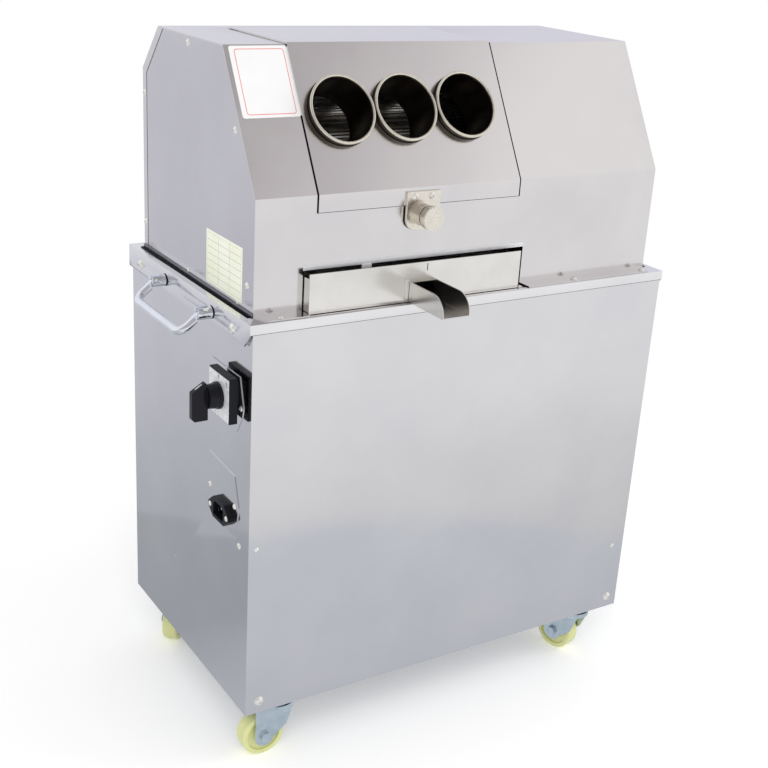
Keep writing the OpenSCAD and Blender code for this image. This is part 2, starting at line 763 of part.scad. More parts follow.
module bagasse_chute() color(steel) in_place() difference() {
    chute_sheet();
    chute_places() bore(shank_r, 8);
}
module chute_sheet() {
    x0 = inner_x;
    drop = (chute_end - chute_y) * chute_fall;
    base = [[chute_y, chute_z], [chute_end, chute_z - drop], [chute_end, chute_z - drop - sheet],
        [chute_y, chute_z - sheet]];
    wall = [[chute_y + 8, chute_z - 8 * chute_fall], [chute_end, chute_z - drop],
        [chute_end, chute_z - drop + chute_side * 0.5], [chute_end - 10, chute_z - drop + chute_side + 4],
        [chute_y + 14, chute_z + chute_side - 14 * chute_fall + 10]];
    along_x(x0, mill_w) polygon(base);
    along_x(x0, sheet) polygon(wall);
    along_x(x0 + mill_w - sheet, sheet) polygon(wall);
    for (x = [x0 - chute_flange, x0 + mill_w - sheet])
        translate([x, back_y, chute_mid - 12]) cube([chute_flange + sheet, sheet, 24]);
}

module gearbox() color(cast_iron) in_place() difference() {
    union() {
        translate([case_x, top_c[0], top_c[1]]) rotate([0, 90, 0]) cylinder(r = 56, h = case_w);
        translate([case_x - 8, top_c[0], top_c[1]]) rotate([0, 90, 0])
            cylinder(r = 30, h = case_w + 16);
        translate([motor_x, motor_y, top_c[1] - 48]) cylinder(r = 28, h = 96);
        translate([motor_x, motor_y, deck_under]) cylinder(r = 30, h = top_c[1] - cab_h);
        translate([motor_x, motor_y, cab_h]) cylinder(r = drive_hole_r + 12, h = 10);
        // Foot and pedestal
        translate([case_x, top_c[0] - 50, cab_h]) cube([case_w, 90, 10]);
        along_x(case_x + 4, case_w - 8) polygon([[top_c[0] - 44, cab_h], [top_c[0] + 40, cab_h],
            [top_c[0] + 40, top_c[1] - 30], [top_c[0] - 34, top_c[1] - 40]]);
    }
    translate([case_x - 10, top_c[0], top_c[1]]) rotate([0, 90, 0])
        cylinder(r = shaft_r + run_fit, h = 40);
}

module drive_motor() color([0.30, 0.36, 0.42]) in_place() {
    translate([motor_x, motor_y, deck_under - 12]) cylinder(r = motor_r + 4, h = 12);
    translate([motor_x, motor_y, deck_under - motor_l]) cylinder(r = motor_r, h = motor_l - 12);
    for (a = [0:18:342]) translate([motor_x, motor_y, deck_under - motor_l + 30]) rotate([0, 0, a])
        translate([motor_r - 1, -1.5, 0]) cube([5, 3, motor_l - 60]);
    translate([motor_x, motor_y, deck_under - motor_l - 24]) cylinder(r = motor_r - 6, h = 25);
    // Capacitor in its cover on the motor's left side
    translate([motor_x - motor_r - 38, motor_y - 28, deck_under - motor_l * 0.75])
        cube([44, 56, motor_l * 0.5]);
}

// The coupling joins the roller shaft to the gearbox shaft
module shaft_coupling() color(warm_steel) in_place() {
    gap = 0.3;
    translate([0, top_c[0], top_c[1]]) rotate([0, 90, 0]) {
        difference() {
            translate([0, 0, short_end]) cylinder(r = coupling_r, h = case_x - 10 - short_end);
            translate([0, 0, short_end - 1]) cylinder(r = shaft_r, h = shaft_end + gap - short_end + 1);
        }
        translate([0, 0, shaft_end + gap]) cylinder(r = shaft_r, h = case_x + 26 - shaft_end);
    }
}

module electric_plates() color(steel) in_place() difference() {
    thin_plates();
    thin_places() bore(thin_shank, 8);
    inlet_places() bore(thin_shank, 14);
}
module thin_plates() {
    x0 = panel_step - thin_t;
    difference() {
        along_x(x0, thin_t) polygon([[switch_y + 48, switch_z + 22.5], [switch_y - 17, switch_z + 22.5],
            [switch_y - 26, switch_z - 8], [switch_y - 24, switch_z - 18], [switch_y - 12, switch_z - 38],
            [switch_y + 48, switch_z - 38]]);
        translate([-1, switch_y - switch_w * 0.38, switch_z - switch_w * 0.38])
            cube([20, switch_w * 0.76, switch_w * 0.76]);
    }
    difference() {
        along_x(x0, thin_t) polygon([[24, inlet_z + 18], [34, inlet_z + 50], [98, inlet_z + 54],
            [100, inlet_z + 48], [100, inlet_z - 18], [30, inlet_z - 18]]);
        translate([-1, inlet_y - 14.5, inlet_z - 11]) cube([20, 29, 22]);
    }
}

switch_face = panel_step - thin_t;
module switch_body() color(black) in_place() {
    translate([switch_face - switch_d, switch_y - switch_w / 2, switch_z - switch_w / 2])
        cube([switch_d - switch_neck, switch_w, switch_w]);
    translate([switch_face - switch_neck - 1, switch_y - switch_w * 0.36, switch_z - switch_w * 0.36])
        cube([44 + switch_neck, switch_w * 0.72, switch_w * 0.72]);
}
dial_x = switch_face - switch_d;
module switch_dial() color(chrome) in_place() difference() {
    translate([dial_x - dial_t, switch_y - switch_w / 2 + 1.5, switch_z - switch_w / 2 + 1.5])
        cube([dial_t, switch_w - 3, switch_w - 3]);
}
// Round base, tapered neck and a flat lever grip that points down
module switch_knob() color(black) in_place()
    translate([dial_x - dial_t - knob_play, switch_y, switch_z]) rotate([0, -90, 0]) {
        cylinder(r = knob_r, h = 3);
        translate([0, 0, 3]) cylinder(r1 = knob_r - 0.8, r2 = knob_r - 2, h = knob_l * 0.45 - 3);
        intersection() {
            translate([-lever_l / 2 - 4, -lever_w / 2, 0]) cube([lever_l, lever_w, knob_l]);
            translate([-4, 20, 0]) rotate([90, 0, 0]) linear_extrude(height = 40) polygon([
                [-lever_l / 2, knob_l * 0.42], [lever_l / 2 - 3, knob_l * 0.42],
                [lever_l / 2, knob_l * 0.5], [lever_l / 2 - 9, knob_l], [-lever_l / 2 + 3, knob_l],
                [-lever_l / 2, knob_l * 0.9]]);
        }
    }

ear_r = 8.5;
module power_inlet() color(black) in_place() {
    face = panel_step - thin_t;
    front = face - 6;
    difference() {
        union() {
            along_x(front, 6) hull() {
                translate([inlet_y - inlet_screws / 2, inlet_z]) circle(r = 5, $fn = 32);
                translate([inlet_y + inlet_screws / 2, inlet_z]) circle(r = 5, $fn = 32);
                translate([inlet_y - 13, inlet_z - 12]) square([26, 24]);
            }
            translate([face - 1, inlet_y - 14, inlet_z - 10.5]) cube([inlet_deep + 6, 28, 21]);
        }
        along_x(front - 1, inlet_deep + 1) polygon([[inlet_y - 12, inlet_z - 8], [inlet_y + 12, inlet_z - 8],
            [inlet_y + 12, inlet_z + 4], [inlet_y + 8, inlet_z + 8], [inlet_y - 8, inlet_z + 8],
            [inlet_y - 12, inlet_z + 4]]);
        for (s = [-1, 1]) translate([front - 1, inlet_y + s * inlet_screws / 2, inlet_z])
            rotate([0, 90, 0]) cylinder(r = 1.8, h = 12);
    }
}
module inlet_pins() color(chrome) in_place() {
    floor_x = panel_step - thin_t - 6 + inlet_deep;
    for (p = [[-7, -2], [7, -2], [0, 2.4]])
        translate([floor_x - inlet_deep + 4, inlet_y + p[0] - 1, inlet_z + p[1] - 2])
            cube([inlet_deep - 4, 2, 4]);
}

module on_left(y, z, x = 0) {
    translate([x, y, z]) rotate([0, -90, 0]) children();
}
module on_front(x, z, y = 0) {
    translate([x, y, z]) rotate([90, 0, 0]) children();
}
skirt_screw_z = cab_h - 15;
// Places of the screws, which the screw holes use too
module skirt_places() {
    for (y = [39.6, cab_d - 35]) {
        on_left(y, skirt_screw_z) children();
        mirrored() on_left(y, skirt_screw_z) children();
    }
}
module foot_places() {
    for (x = [19, cab_w - 18]) on_front(x, 14.5) children();
}
module stud_places() {
    on_front(12.2, 200.7) children();
    on_front(cab_w - 20.3, 88.3) children();
}
module rear_places() {
    for (x = [16, cab_w - 16], z = [30, cab_h - 50]) translate([x, rear_y + sheet, z])
        rotate([-90, 0, 0]) children();
}
// Clearance hole for a screw shank, bored down from z = 1
module bore(r, l) {
    translate([0, 0, -l]) cylinder(r = r + screw_play, h = l + 1);
}
module cabinet_screws() color(chrome) in_place() {
    skirt_places() screw(button_r, button_h, skirt_shank, 4.2, 2);
    foot_places() screw(button_r, button_h, shank_r, 3.5);
    stud_places() screw(2.6, 1, stud_shank, 2.8, 0.4);
    rear_places() screw(head_r, head_h, shank_r, 3);
}

side_screws = [[back_y - chamfer_d - 77.9, hood_top - 8], [hood_front + 46, fold_z + 56.6],
    [back_y - 5.8, hood_top - 74.5], [back_y - 5, cab_h + 30], [hood_front + 14.3, cab_h + 28]];
module side_places() {
    for (p = side_screws) on_left(p[0], p[1], hood_x) children();
}
module rivet_places() {
    for (y = [56.4, 177]) on_left(y, cab_h + 5.2, hood_x) children();
}
module flange_places() {
    for (x = [hood_x + 23.3, hood_x + 390.3, hood_x + hood_w - 12.7])
        translate([x, hood_front - flange_w * 0.64, cab_h + sheet]) children();
}
module chute_places() {
    for (x = [inner_x - chute_flange / 2 - 1, inner_x + mill_w + chute_flange / 2 + 1])
        translate([x, back_y + sheet, chute_mid]) rotate([-90, 0, 0]) children();
}
module hood_screws() color(chrome) in_place() {
    side_places() screw(head_r, head_h, shank_r, 4);
    mirrored() side_places() screw(head_r, head_h, shank_r, 4);
    rivet_places() screw(2.6, 1.2, stud_shank, 3, 0.5);
    mirrored() rivet_places() screw(2.6, 1.2, stud_shank, 3, 0.5);
    flange_places() screw(head_r, head_h, shank_r, 6);
    chute_places() screw(head_r, head_h, shank_r, 5);
}

module thin_places() {
    x0 = panel_step - thin_t;
    on_left(switch_y - 20.8, switch_z - 9.5, x0) children();
    for (y = [33, 93]) on_left(y, inlet_z + 16, x0) children();
}
module inlet_places() {
    for (s = [-1, 1]) on_left(inlet_y + s * inlet_screws / 2, inlet_z, panel_step - thin_t - 6)
        children();
}
module electric_screws() color(chrome) in_place() {
    thin_places() screw(3.2, 1.8, thin_shank, 5);
    inlet_places() screw(3, 1.6, thin_shank, 11);
    on_left(22.6, 196, panel_step) screw(3.6, 2, shank_r, 6);
}

post_z = cab_h - post_down;
module handle_post(y) {
    difference() {
        translate([0, y, post_z]) rotate([0, -90, 0]) cylinder(r = post_r, h = post_l);
        translate([-post_l - 1, y - slot_w / 2, post_z - post_r - 1])
            cube([post_l - 2.5, slot_w, 2 * post_r + 2]);
    }
    translate([-pin_out, y - post_r + 0.4, post_z]) rotate([-90, 0, 0])
        cylinder(r = pin_r, h = 2 * post_r - 0.8);
}
module handle_posts() color(chrome) in_place() {
    for (y = [post_y, post_y + post_c]) {
        handle_post(y);
        mirrored() handle_post(y);
    }
}
// Bail drawn hanging down from its pin axis, then swung out to its place
module bail() {
    lug_t = slot_w - 0.6;
    rod = norm([post_l - pin_out, post_r]) + 0.4;
    translate([-pin_out, post_y, post_z]) rotate([0, bail_angle, 0]) {
        for (s = [0, 1]) translate([0, s * post_c, 0]) {
            difference() {
                union() {
                    rotate([90, 0, 0]) cylinder(r = bail_r - 0.3, h = lug_t, center = true);
                    translate([-bail_r + 0.3, -lug_t / 2, -rod - 2])
                        cube([2 * bail_r - 0.6, lug_t, rod + 2]);
                    translate([0, 0, -arm_l + bail_bend]) cylinder(r = bail_r, h = arm_l - bail_bend - rod);
                }
                rotate([90, 0, 0]) cylinder(r = pin_r + run_fit, h = 20, center = true);
            }
        }
        translate([0, bail_bend, -arm_l]) rotate([-90, 0, 0])
            cylinder(r = bail_r, h = post_c - 2 * bail_bend);
        translate([0, bail_bend, -arm_l + bail_bend]) rotate([0, 90, 0]) rotate([0, 0, -90])
            rotate_extrude(angle = 90) translate([bail_bend, 0]) circle(r = bail_r);
        translate([0, post_c - bail_bend, -arm_l + bail_bend]) rotate([0, 90, 0])
            rotate_extrude(angle = 90) translate([bail_bend, 0]) circle(r = bail_r);
    }
}
module handle_left() color(chrome) in_place() bail();
module handle_right() color(chrome) in_place() mirrored() bail();

// Hinge: knuckles 1, 3 and 5 belong to the hood, 2 and 4 to the lid
hinge_x = lid_x + 6;
hinge_l = lid_w - 12;
knuckle_l = hinge_l / 5;
module knuckle(i) {
    translate([hinge_x + i * knuckle_l + 0.15, hinge_y, hinge_z]) rotate([0, 90, 0])
        cylinder(r = knuckle_r, h = knuckle_l - 0.3);
}
module lid_hinge() color(brushed) in_place() {
    for (i = [0, 2, 4]) {
        knuckle(i);
        translate([hinge_x + i * knuckle_l + 0.15, hinge_y - 0.5, hinge_z - sheet - 1])
            cube([knuckle_l - 0.3, knuckle_r + 1.5, 1]);
    }
    translate([hinge_x, hinge_y, hinge_z]) rotate([0, 90, 0]) cylinder(r = hinge_pin_r, h = hinge_l);
    translate([hinge_x, hinge_y + knuckle_r + 0.3, hinge_z - sheet - 1]) cube([hinge_l, 16, 1]);
}
module lid_leaf() color(brushed) in_place() {
    difference() {
        union() {
            for (i = [1, 3]) {
                knuckle(i);
                translate([hinge_x + i * knuckle_l + 0.15, hinge_y - knuckle_r - 0.6, leaf_z])
                    cube([knuckle_l - 0.3, knuckle_r + 0.6, 1]);
            }
            translate([hinge_x, hinge_y - 18, leaf_z])
                cube([hinge_l, 18 - knuckle_r - 0.4, 1]);
        }
        translate([hinge_x - 1, hinge_y, hinge_z]) rotate([0, 90, 0])
            cylinder(r = hinge_pin_r + run_fit, h = hinge_l + 2);
    }
}
leaf_z = hinge_z + lid_proud - lid_t - 1;

module lid() color(steel) in_place() difference() {
    union() {
        along_x(lid_x, lid_w) polygon([[hood_front - lid_proud, lip_z], front_corner(-lid_proud),
            top_corner(-lid_proud), [lid_rear, hood_top + lid_proud],
            [lid_rear, hood_top + lid_proud - lid_t], top_corner(lid_t - lid_proud),
            front_corner(lid_t - lid_proud), [hood_front + lid_t - lid_proud, lip_z]]);
        for (x = [lid_x, lid_x + lid_w - lid_t])
            along_x(x, lid_t) polygon([[hood_front - lid_proud, lip_z], front_corner(-lid_proud),
                top_corner(-lid_proud), [lid_rear - 22, hood_top + lid_proud - 0.5],
                [lid_rear - 22, hood_top - lid_edge], top_corner(lid_edge), front_corner(lid_edge),
                [hood_front + 1, lip_z]]);
    }
    tube_places() translate([0, 0, -30]) cylinder(r = tube_r + tube_wall, h = 60);
    hasp_places() bore(hasp_shank, 8);
}

// Places for the feed tubes, z along the outward normal of the slope
module tube_places() {
    for (i = [0:tube_n - 1])
        translate([tube_x + i * tube_pitch, slope_foot[0] + tube_up * cos(slope_angle),
            slope_foot[1] + tube_up * sin(slope_angle)]) rotate([slope_angle, 0, 0]) children();
}
module feed_tubes() color(cream) in_place() tube_places() rotate_extrude($fn = 96) difference() {
    union() {
        translate([tube_r, -tube_in]) square([tube_wall, tube_in + rim_h - bead_r]);
        translate([tube_r + bead_r, rim_h - bead_r]) circle(r = bead_r, $fn = 32);
        translate([tube_r + 1, lid_proud]) square([tube_wall, 1.6]);
    }
    translate([0, -big / 2]) square([tube_r, big]);
}

module hasp_plate() color(warm_steel) in_place() difference() {
    union() {
        translate([hasp_x, hasp_face, 0]) translate([0, hasp_t, 0]) rotate([90, 0, 0])
            linear_extrude(height = hasp_t) union() {
                translate([0, hasp_top - hasp + 12]) square([hasp, hasp - 12]);
                translate([12, hasp_top - hasp]) square([hasp - 24, 14]);
                for (x = [12, hasp - 12]) translate([x, hasp_top - hasp + 12]) circle(r = 12);
            }
        translate([latch_x, hasp_face, latch_z]) rotate([90, 0, 0]) difference() {
            translate([0, 0, -0.5]) cylinder(r = ferrule_r, h = ferrule_l + 0.5);
            cylinder(r = ferrule_r - 2.8, h = ferrule_l + 1);
        }
    }
    translate([latch_x, hasp_face + 20, latch_z]) rotate([90, 0, 0])
        cylinder(r = stud_r + 0.15, h = 30);
    hasp_places() bore(hasp_shank, 8);
}
hasp_shank = 1.8;
module hasp_places() {
    for (x = [hasp_x + 9.5, hasp_x + hasp - 11]) on_front(x, hasp_top - 5, hasp_face) children();
}
module hasp_screws() color(chrome) in_place()
    hasp_places() screw(head_r - 0.2, 2, hasp_shank, hasp_t + lid_t);

clip_y = hood_front - lid_proud + clip_gap;
module latch_clip() color(brushed) in_place()
    translate([latch_x, clip_y + clip_t, latch_z]) rotate([90, 0, 0]) difference() {
        cylinder(r = clip_r, h = clip_t);
        translate([0, 0, -1]) cylinder(r = stud_r - 0.6 + run_fit, h = 4);
    }
stud_tip = hood_front + 1.8;
knob_back = hasp_face - ferrule_l - cap_gap;
module latch_knob() color(warm_steel) in_place()
    translate([latch_x, 0, latch_z]) rotate([-90, 0, 0]) difference() {
        union() {
            translate([0, 0, knob_back - cap_t]) cylinder(r = cap_r - 0.8, h = 0.8);
            translate([0, 0, knob_back - cap_t + 0.8]) cylinder(r = cap_r, h = cap_t - 0.8);
            translate([0, 0, knob_back - 0.5]) cylinder(r = ferrule_r - 3, h = cap_gap + 4.5);
            translate([0, 0, knob_back]) cylinder(r = stud_r, h = stud_tip - 0.8 - knob_back);
            translate([0, 0, stud_tip - 0.8]) cylinder(r1 = stud_r, r2 = stud_r - 0.8, h = 0.8);
        }
        translate([0, 0, clip_y - 0.05]) difference() {
            cylinder(r = 20, h = clip_t + 0.1);
            translate([0, 0, -1]) cylinder(r = stud_r - 0.6, h = 4);
        }
    }

// Drawer with a folded spout that is open at the top
module juice_tray() color(steel) in_place() {
    spout_end = tray_y - spout_l;
    difference() {
        union() {
            translate([tray_x, tray_y, tray_z]) cube([tray_w, tray_l, tray_h]);
            translate([tray_x, tray_y, tray_z]) cube([tray_w, tray_t, tray_face_h]);
        }
        translate([tray_x + tray_t, tray_y + tray_t, tray_z + tray_t])
            cube([tray_w - 2 * tray_t, tray_l - 2 * tray_t, tray_h]);
        translate([spout_x + tray_t, tray_y - 1, tray_z + tray_t])
            cube([spout_w - 2 * tray_t, 5, spout_h - tray_t - 2]);
    }
    difference() {
        along_x(spout_x, spout_w) union() {
            translate([spout_end + spout_round, tray_z]) square([spout_l - spout_round + 0.2, spout_h]);
            translate([spout_end, tray_z]) square([spout_round, spout_h - spout_round]);
            intersection() {
                translate([spout_end + spout_round, tray_z + spout_h - spout_round])
                    circle(r = spout_round, $fn = 96);
                translate([spout_end, tray_z]) square([spout_round, spout_h]);
            }
        }
        translate([spout_x + tray_t, spout_end - 1, tray_z + tray_t])
            cube([spout_w - 2 * tray_t, spout_l + 2, spout_h]);
    }
}

module at_caster(i) {
    in_place() translate([caster_at[i][0], caster_at[i][1], 0]) rotate([0, 0, caster_at[i][2]]) children();
}
plate_half = [26, min(18, caster_y - sheet - 0.5)];
module caster_plates() color(zinc) in_place() for (c = caster_at) translate([c[0], c[1], 0]) {
    difference() {
        translate([-plate_half[0], -plate_half[1], -caster_t])
            cube([2 * plate_half[0], 2 * plate_half[1], caster_t]);
        for (x = [-1, 1], y = [-1, 1]) translate([x * (plate_half[0] - 6), y * (plate_half[1] - 6), -10])
            cylinder(r = 2.6, h = 20);
    }
    for (x = [-1, 1], y = [-1, 1]) translate([x * (plate_half[0] - 6), y * (plate_half[1] - 6), -caster_t - 1.5])
        cylinder(r = 4, h = 1.8, $fn = 6);
    translate([0, 0, dish_floor + fork_t + 0.3]) cylinder(r = 13, h = -dish_floor - fork_t - 0.3 - caster_t);
    translate([0, 0, dish_floor - 0.3]) cylinder(r = 4.5, h = 8);
    translate([0, 0, dish_floor - 2.8]) cylinder(r = 8, h = 2.5);
}
// Fork: a dished race, a bridge and two legs that sweep back to the axle
dish_r = 20.5;
module fork() {
    leg = fork_in + fork_t;
    difference() {
        union() {
            difference() {
                translate([0, 0, dish_floor]) cylinder(r = dish_r, h = 5.6);
                translate([0, 0, dish_floor + fork_t]) cylinder(r = dish_r - 1.8, h = 10);
            }
            translate([0, -leg, dish_floor]) cube([trail + 11, 2 * leg, fork_t]);
            for (s = [-1, 1]) translate([0, s > 0 ? leg : -fork_in, 0]) rotate([90, 0, 0])
                linear_extrude(height = fork_t) union() {
                    polygon([[-16, dish_floor], [trail + 11, dish_floor], [trail + 12, axle_z],
                        [trail, axle_z - 11], [trail - 11, axle_z - 4], [-7, axle_z + 9]]);
                    translate([trail, axle_z]) circle(r = 12);
                }
        }
        translate([0, 0, dish_floor - 1]) cylinder(r = 4.5 + run_fit, h = 8);
        translate([trail, 50, axle_z]) rotate([90, 0, 0]) cylinder(r = axle_r, h = 100);
    }
}
module axle() {
    leg = fork_in + fork_t;
    translate([trail, leg + 3, axle_z]) rotate([90, 0, 0]) cylinder(r = axle_r, h = 2 * leg + 4.5);
    translate([trail, leg + 4, axle_z]) rotate([90, 0, 0]) cylinder(r = 6.5, h = 4, $fn = 6);
    translate([trail, -leg, axle_z]) rotate([90, 0, 0]) cylinder(r = 6.5, h = 3.5, $fn = 6);
}
module wheel() {
    hw = hub_w / 2;
    ww = wheel_w / 2;
    translate([trail, 0, axle_z]) rotate([90, 0, 0]) rotate_extrude($fn = 64) difference() {
        union() {
            translate([0, -ww]) square([wheel_r - 2, 2 * ww]);
            translate([0, -ww + 2]) square([wheel_r, 2 * ww - 4]);
            for (s = [-1, 1]) translate([wheel_r - 2, s * (ww - 2)]) circle(r = 2, $fn = 32);
            translate([0, -hw]) square([8.5, 2 * hw]);
        }
        for (s = [-1, 1]) translate([9.5, s > 0 ? ww - 2.5 : -ww]) square([wheel_r - 15, 2.5]);
        translate([0, -30]) square([axle_r + run_fit, 60]);
    }
}
module caster_fork_fl() color(zinc) at_caster(0) fork();
module caster_fork_fr() color(zinc) at_caster(1) fork();
module caster_fork_bl() color(zinc) at_caster(2) fork();
module caster_fork_br() color(zinc) at_caster(3) fork();
module caster_axle_fl() color(zinc) at_caster(0) axle();
module caster_axle_fr() color(zinc) at_caster(1) axle();
module caster_axle_bl() color(zinc) at_caster(2) axle();
module caster_axle_br() color(zinc) at_caster(3) axle();
module caster_wheel_fl() color(wheel_colour) at_caster(0) wheel();
module caster_wheel_fr() color(wheel_colour) at_caster(1) wheel();
module caster_wheel_bl() color(wheel_colour) at_caster(2) wheel();
module caster_wheel_br() color(wheel_colour) at_caster(3) wheel();

base_pan();
frame_posts();
deck();
front_panel();
left_panel();
right_panel();
rear_panel();
hood_shell();
hood_left_panel();
hood_right_panel();
hood_rear_cover();
mill_plate_left();
mill_plate_right();
mill_tie_bars();
roller_bushes();
trash_plate();
bagasse_chute();
gearbox();
drive_motor();
electric_plates();
switch_body();
switch_dial();
power_inlet();
inlet_pins();
cabinet_screws();
hood_screws();
electric_screws();
handle_posts();
lid_hinge();
caster_plates();
lid();
lid_leaf();
feed_tubes();
hasp_plate();
hasp_screws();
latch_clip();
latch_knob();
juice_tray();
top_roller();
top_gear();
shaft_coupling();
feed_roller();
feed_gear();
discharge_roller();
discharge_gear();
switch_knob();
handle_left();
handle_right();
caster_fork_fl();
caster_fork_fr();
caster_fork_bl();
caster_fork_br();
caster_axle_fl();
caster_axle_fr();
caster_axle_bl();
caster_axle_br();
caster_wheel_fl();
caster_wheel_fr();
caster_wheel_bl();
caster_wheel_br();
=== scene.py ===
"""Electric sugarcane juicer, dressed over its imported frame."""
import bpy
import json
import math
from mathutils import Matrix, Vector


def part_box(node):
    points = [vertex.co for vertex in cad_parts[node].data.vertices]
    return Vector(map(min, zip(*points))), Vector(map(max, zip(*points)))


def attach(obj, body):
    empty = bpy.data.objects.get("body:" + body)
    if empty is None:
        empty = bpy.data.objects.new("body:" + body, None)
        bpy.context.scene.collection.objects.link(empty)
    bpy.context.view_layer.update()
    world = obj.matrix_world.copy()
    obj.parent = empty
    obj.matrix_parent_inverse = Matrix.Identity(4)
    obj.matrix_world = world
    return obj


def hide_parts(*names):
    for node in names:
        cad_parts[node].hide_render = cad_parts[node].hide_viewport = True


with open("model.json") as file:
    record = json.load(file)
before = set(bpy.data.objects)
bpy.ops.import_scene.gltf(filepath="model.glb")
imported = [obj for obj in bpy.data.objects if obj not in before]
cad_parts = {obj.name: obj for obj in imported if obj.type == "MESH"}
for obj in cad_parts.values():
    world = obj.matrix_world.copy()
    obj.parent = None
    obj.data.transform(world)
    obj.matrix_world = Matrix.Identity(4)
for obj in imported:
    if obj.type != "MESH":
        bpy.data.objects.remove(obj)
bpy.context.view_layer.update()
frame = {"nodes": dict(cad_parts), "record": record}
NODE = frame["nodes"]

# The cabinet's own corner: x from its left side, y from its front, z from its underside. The
# deck's top lies DECK_TOP mm above that underside.
DECK_TOP = 444
deck_low, deck_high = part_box("deck")
SHIFT = Vector((deck_low[0], deck_low[1], deck_high[2] - DECK_TOP / 1000))


def at(x, y, z):
    """A place in the cabinet's millimetres as a place in the frame's metres."""
    return Vector((x, y, z)) / 1000 + SHIFT


def linear(code):
    """An sRGB hex colour as linear RGBA."""
    out = []
    for i in (0, 2, 4):
        c = int(code[i:i + 2], 16) / 255
        out.append(c / 12.92 if c <= 0.04045 else ((c + 0.055) / 1.055) ** 2.4)
    return (*out, 1.0)


def add(tree, kind, values=None, links=None, **settings):
    """Adds a node: settings are its properties, values its sockets, links the sockets it reads."""
    node = tree.nodes.new("ShaderNode" + kind)
    for key, value in settings.items():
        setattr(node, key, value)
    for key, value in (values or {}).items():
        node.inputs[key].default_value = value
    for key, source in (links or {}).items():
        tree.links.new(source, node.inputs[key])
    return node


# Sockets of a Mix node that mixes colours, by number, since its names repeat for each kind
MIX_FIRST, MIX_SECOND, MIX_RESULT = 6, 7, 2


def blank(name):
    """A new material with its surface output and Object coordinates."""
    mat = bpy.data.materials.new(name)
    mat.use_nodes = True
    tree = mat.node_tree
    tree.nodes.clear()
    out = add(tree, "OutputMaterial")
    coords = add(tree, "TexCoord").outputs["Object"]
    return mat, tree, out, coords


def sheet_metal(name, pale, shade, rough, grain=0.02, wave=0.05, along=(1, 1, 40)):
    """Cold rolled stainless: near mirror, faint rolling grain, oil canning and wiped smudges. The
    lines of the grain lie across the axis that along multiplies."""
    mat, tree, out, coords = blank(name)
    # Cloudy wipe marks about 120 mm across
    cloud = add(tree, "TexNoise", {"Scale": 8.0, "Detail": 4.0, "Roughness": 0.6}, {"Vector": coords})
    tone = add(tree, "ValToRGB", links={"Fac": cloud.outputs["Fac"]})
    tone.color_ramp.elements[0].position, tone.color_ramp.elements[1].position = 0.35, 0.68
    tone.color_ramp.elements[0].color = linear(shade)
    tone.color_ramp.elements[1].color = linear(pale)
    # Rolling grain drawn 0.8 mm apart, the real one is finer
    lay = add(tree, "Mapping", {"Scale": along}, {"Vector": coords})
    lines = add(tree, "TexNoise", {"Scale": 30.0, "Detail": 6.0, "Roughness": 0.7},
                {"Vector": lay.outputs["Vector"]})
    spread = add(tree, "MapRange", {"To Min": rough * 0.8, "To Max": rough * 1.25},
                 {"Value": lines.outputs["Fac"]})
    smudge = add(tree, "MapRange", {"From Min": 0.5, "From Max": 0.75, "To Min": 0.0, "To Max": rough * 0.5},
                 {"Value": cloud.outputs["Fac"]})
    total = add(tree, "Math", links={0: spread.outputs["Result"], 1: smudge.outputs["Result"]},
                operation="ADD")
    # Oil canning: the sheet is not quite flat over about 200 mm
    swell = add(tree, "TexNoise", {"Scale": 3.2, "Detail": 1.0}, {"Vector": coords})
    flat = add(tree, "Bump", {"Strength": wave, "Distance": 0.004}, {"Height": swell.outputs["Fac"]})
    fine = add(tree, "Bump", {"Strength": grain, "Distance": 0.0004},
               {"Height": lines.outputs["Fac"], "Normal": flat.outputs["Normal"]})
    skin = add(tree, "BsdfPrincipled", {"Metallic": 1.0},
               {"Base Color": tone.outputs["Color"], "Roughness": total.outputs["Value"],
                "Normal": fine.outputs["Normal"]})
    tree.links.new(skin.outputs["BSDF"], out.inputs["Surface"])
    return mat


def turned(name, pale, shade, rough, scale=90.0, bump=0.04, metallic=1.0):
    """Machined, plated or cast metal: small tone changes over a few millimetres."""
    mat, tree, out, coords = blank(name)
    spots = add(tree, "TexNoise", {"Scale": scale, "Detail": 5.0, "Roughness": 0.6}, {"Vector": coords})
    tone = add(tree, "ValToRGB", links={"Fac": spots.outputs["Fac"]})
    tone.color_ramp.elements[0].position, tone.color_ramp.elements[1].position = 0.3, 0.7
    tone.color_ramp.elements[0].color = linear(shade)
    tone.color_ramp.elements[1].color = linear(pale)
    spread = add(tree, "MapRange", {"To Min": rough * 0.75, "To Max": rough * 1.3},
                 {"Value": spots.outputs["Fac"]})
    skin_bump = add(tree, "Bump", {"Strength": bump, "Distance": 0.0005}, {"Height": spots.outputs["Fac"]})
    skin = add(tree, "BsdfPrincipled", {"Metallic": metallic},
               {"Base Color": tone.outputs["Color"], "Roughness": spread.outputs["Result"],
                "Normal": skin_bump.outputs["Normal"]})
    tree.links.new(skin.outputs["BSDF"], out.inputs["Surface"])
    return mat


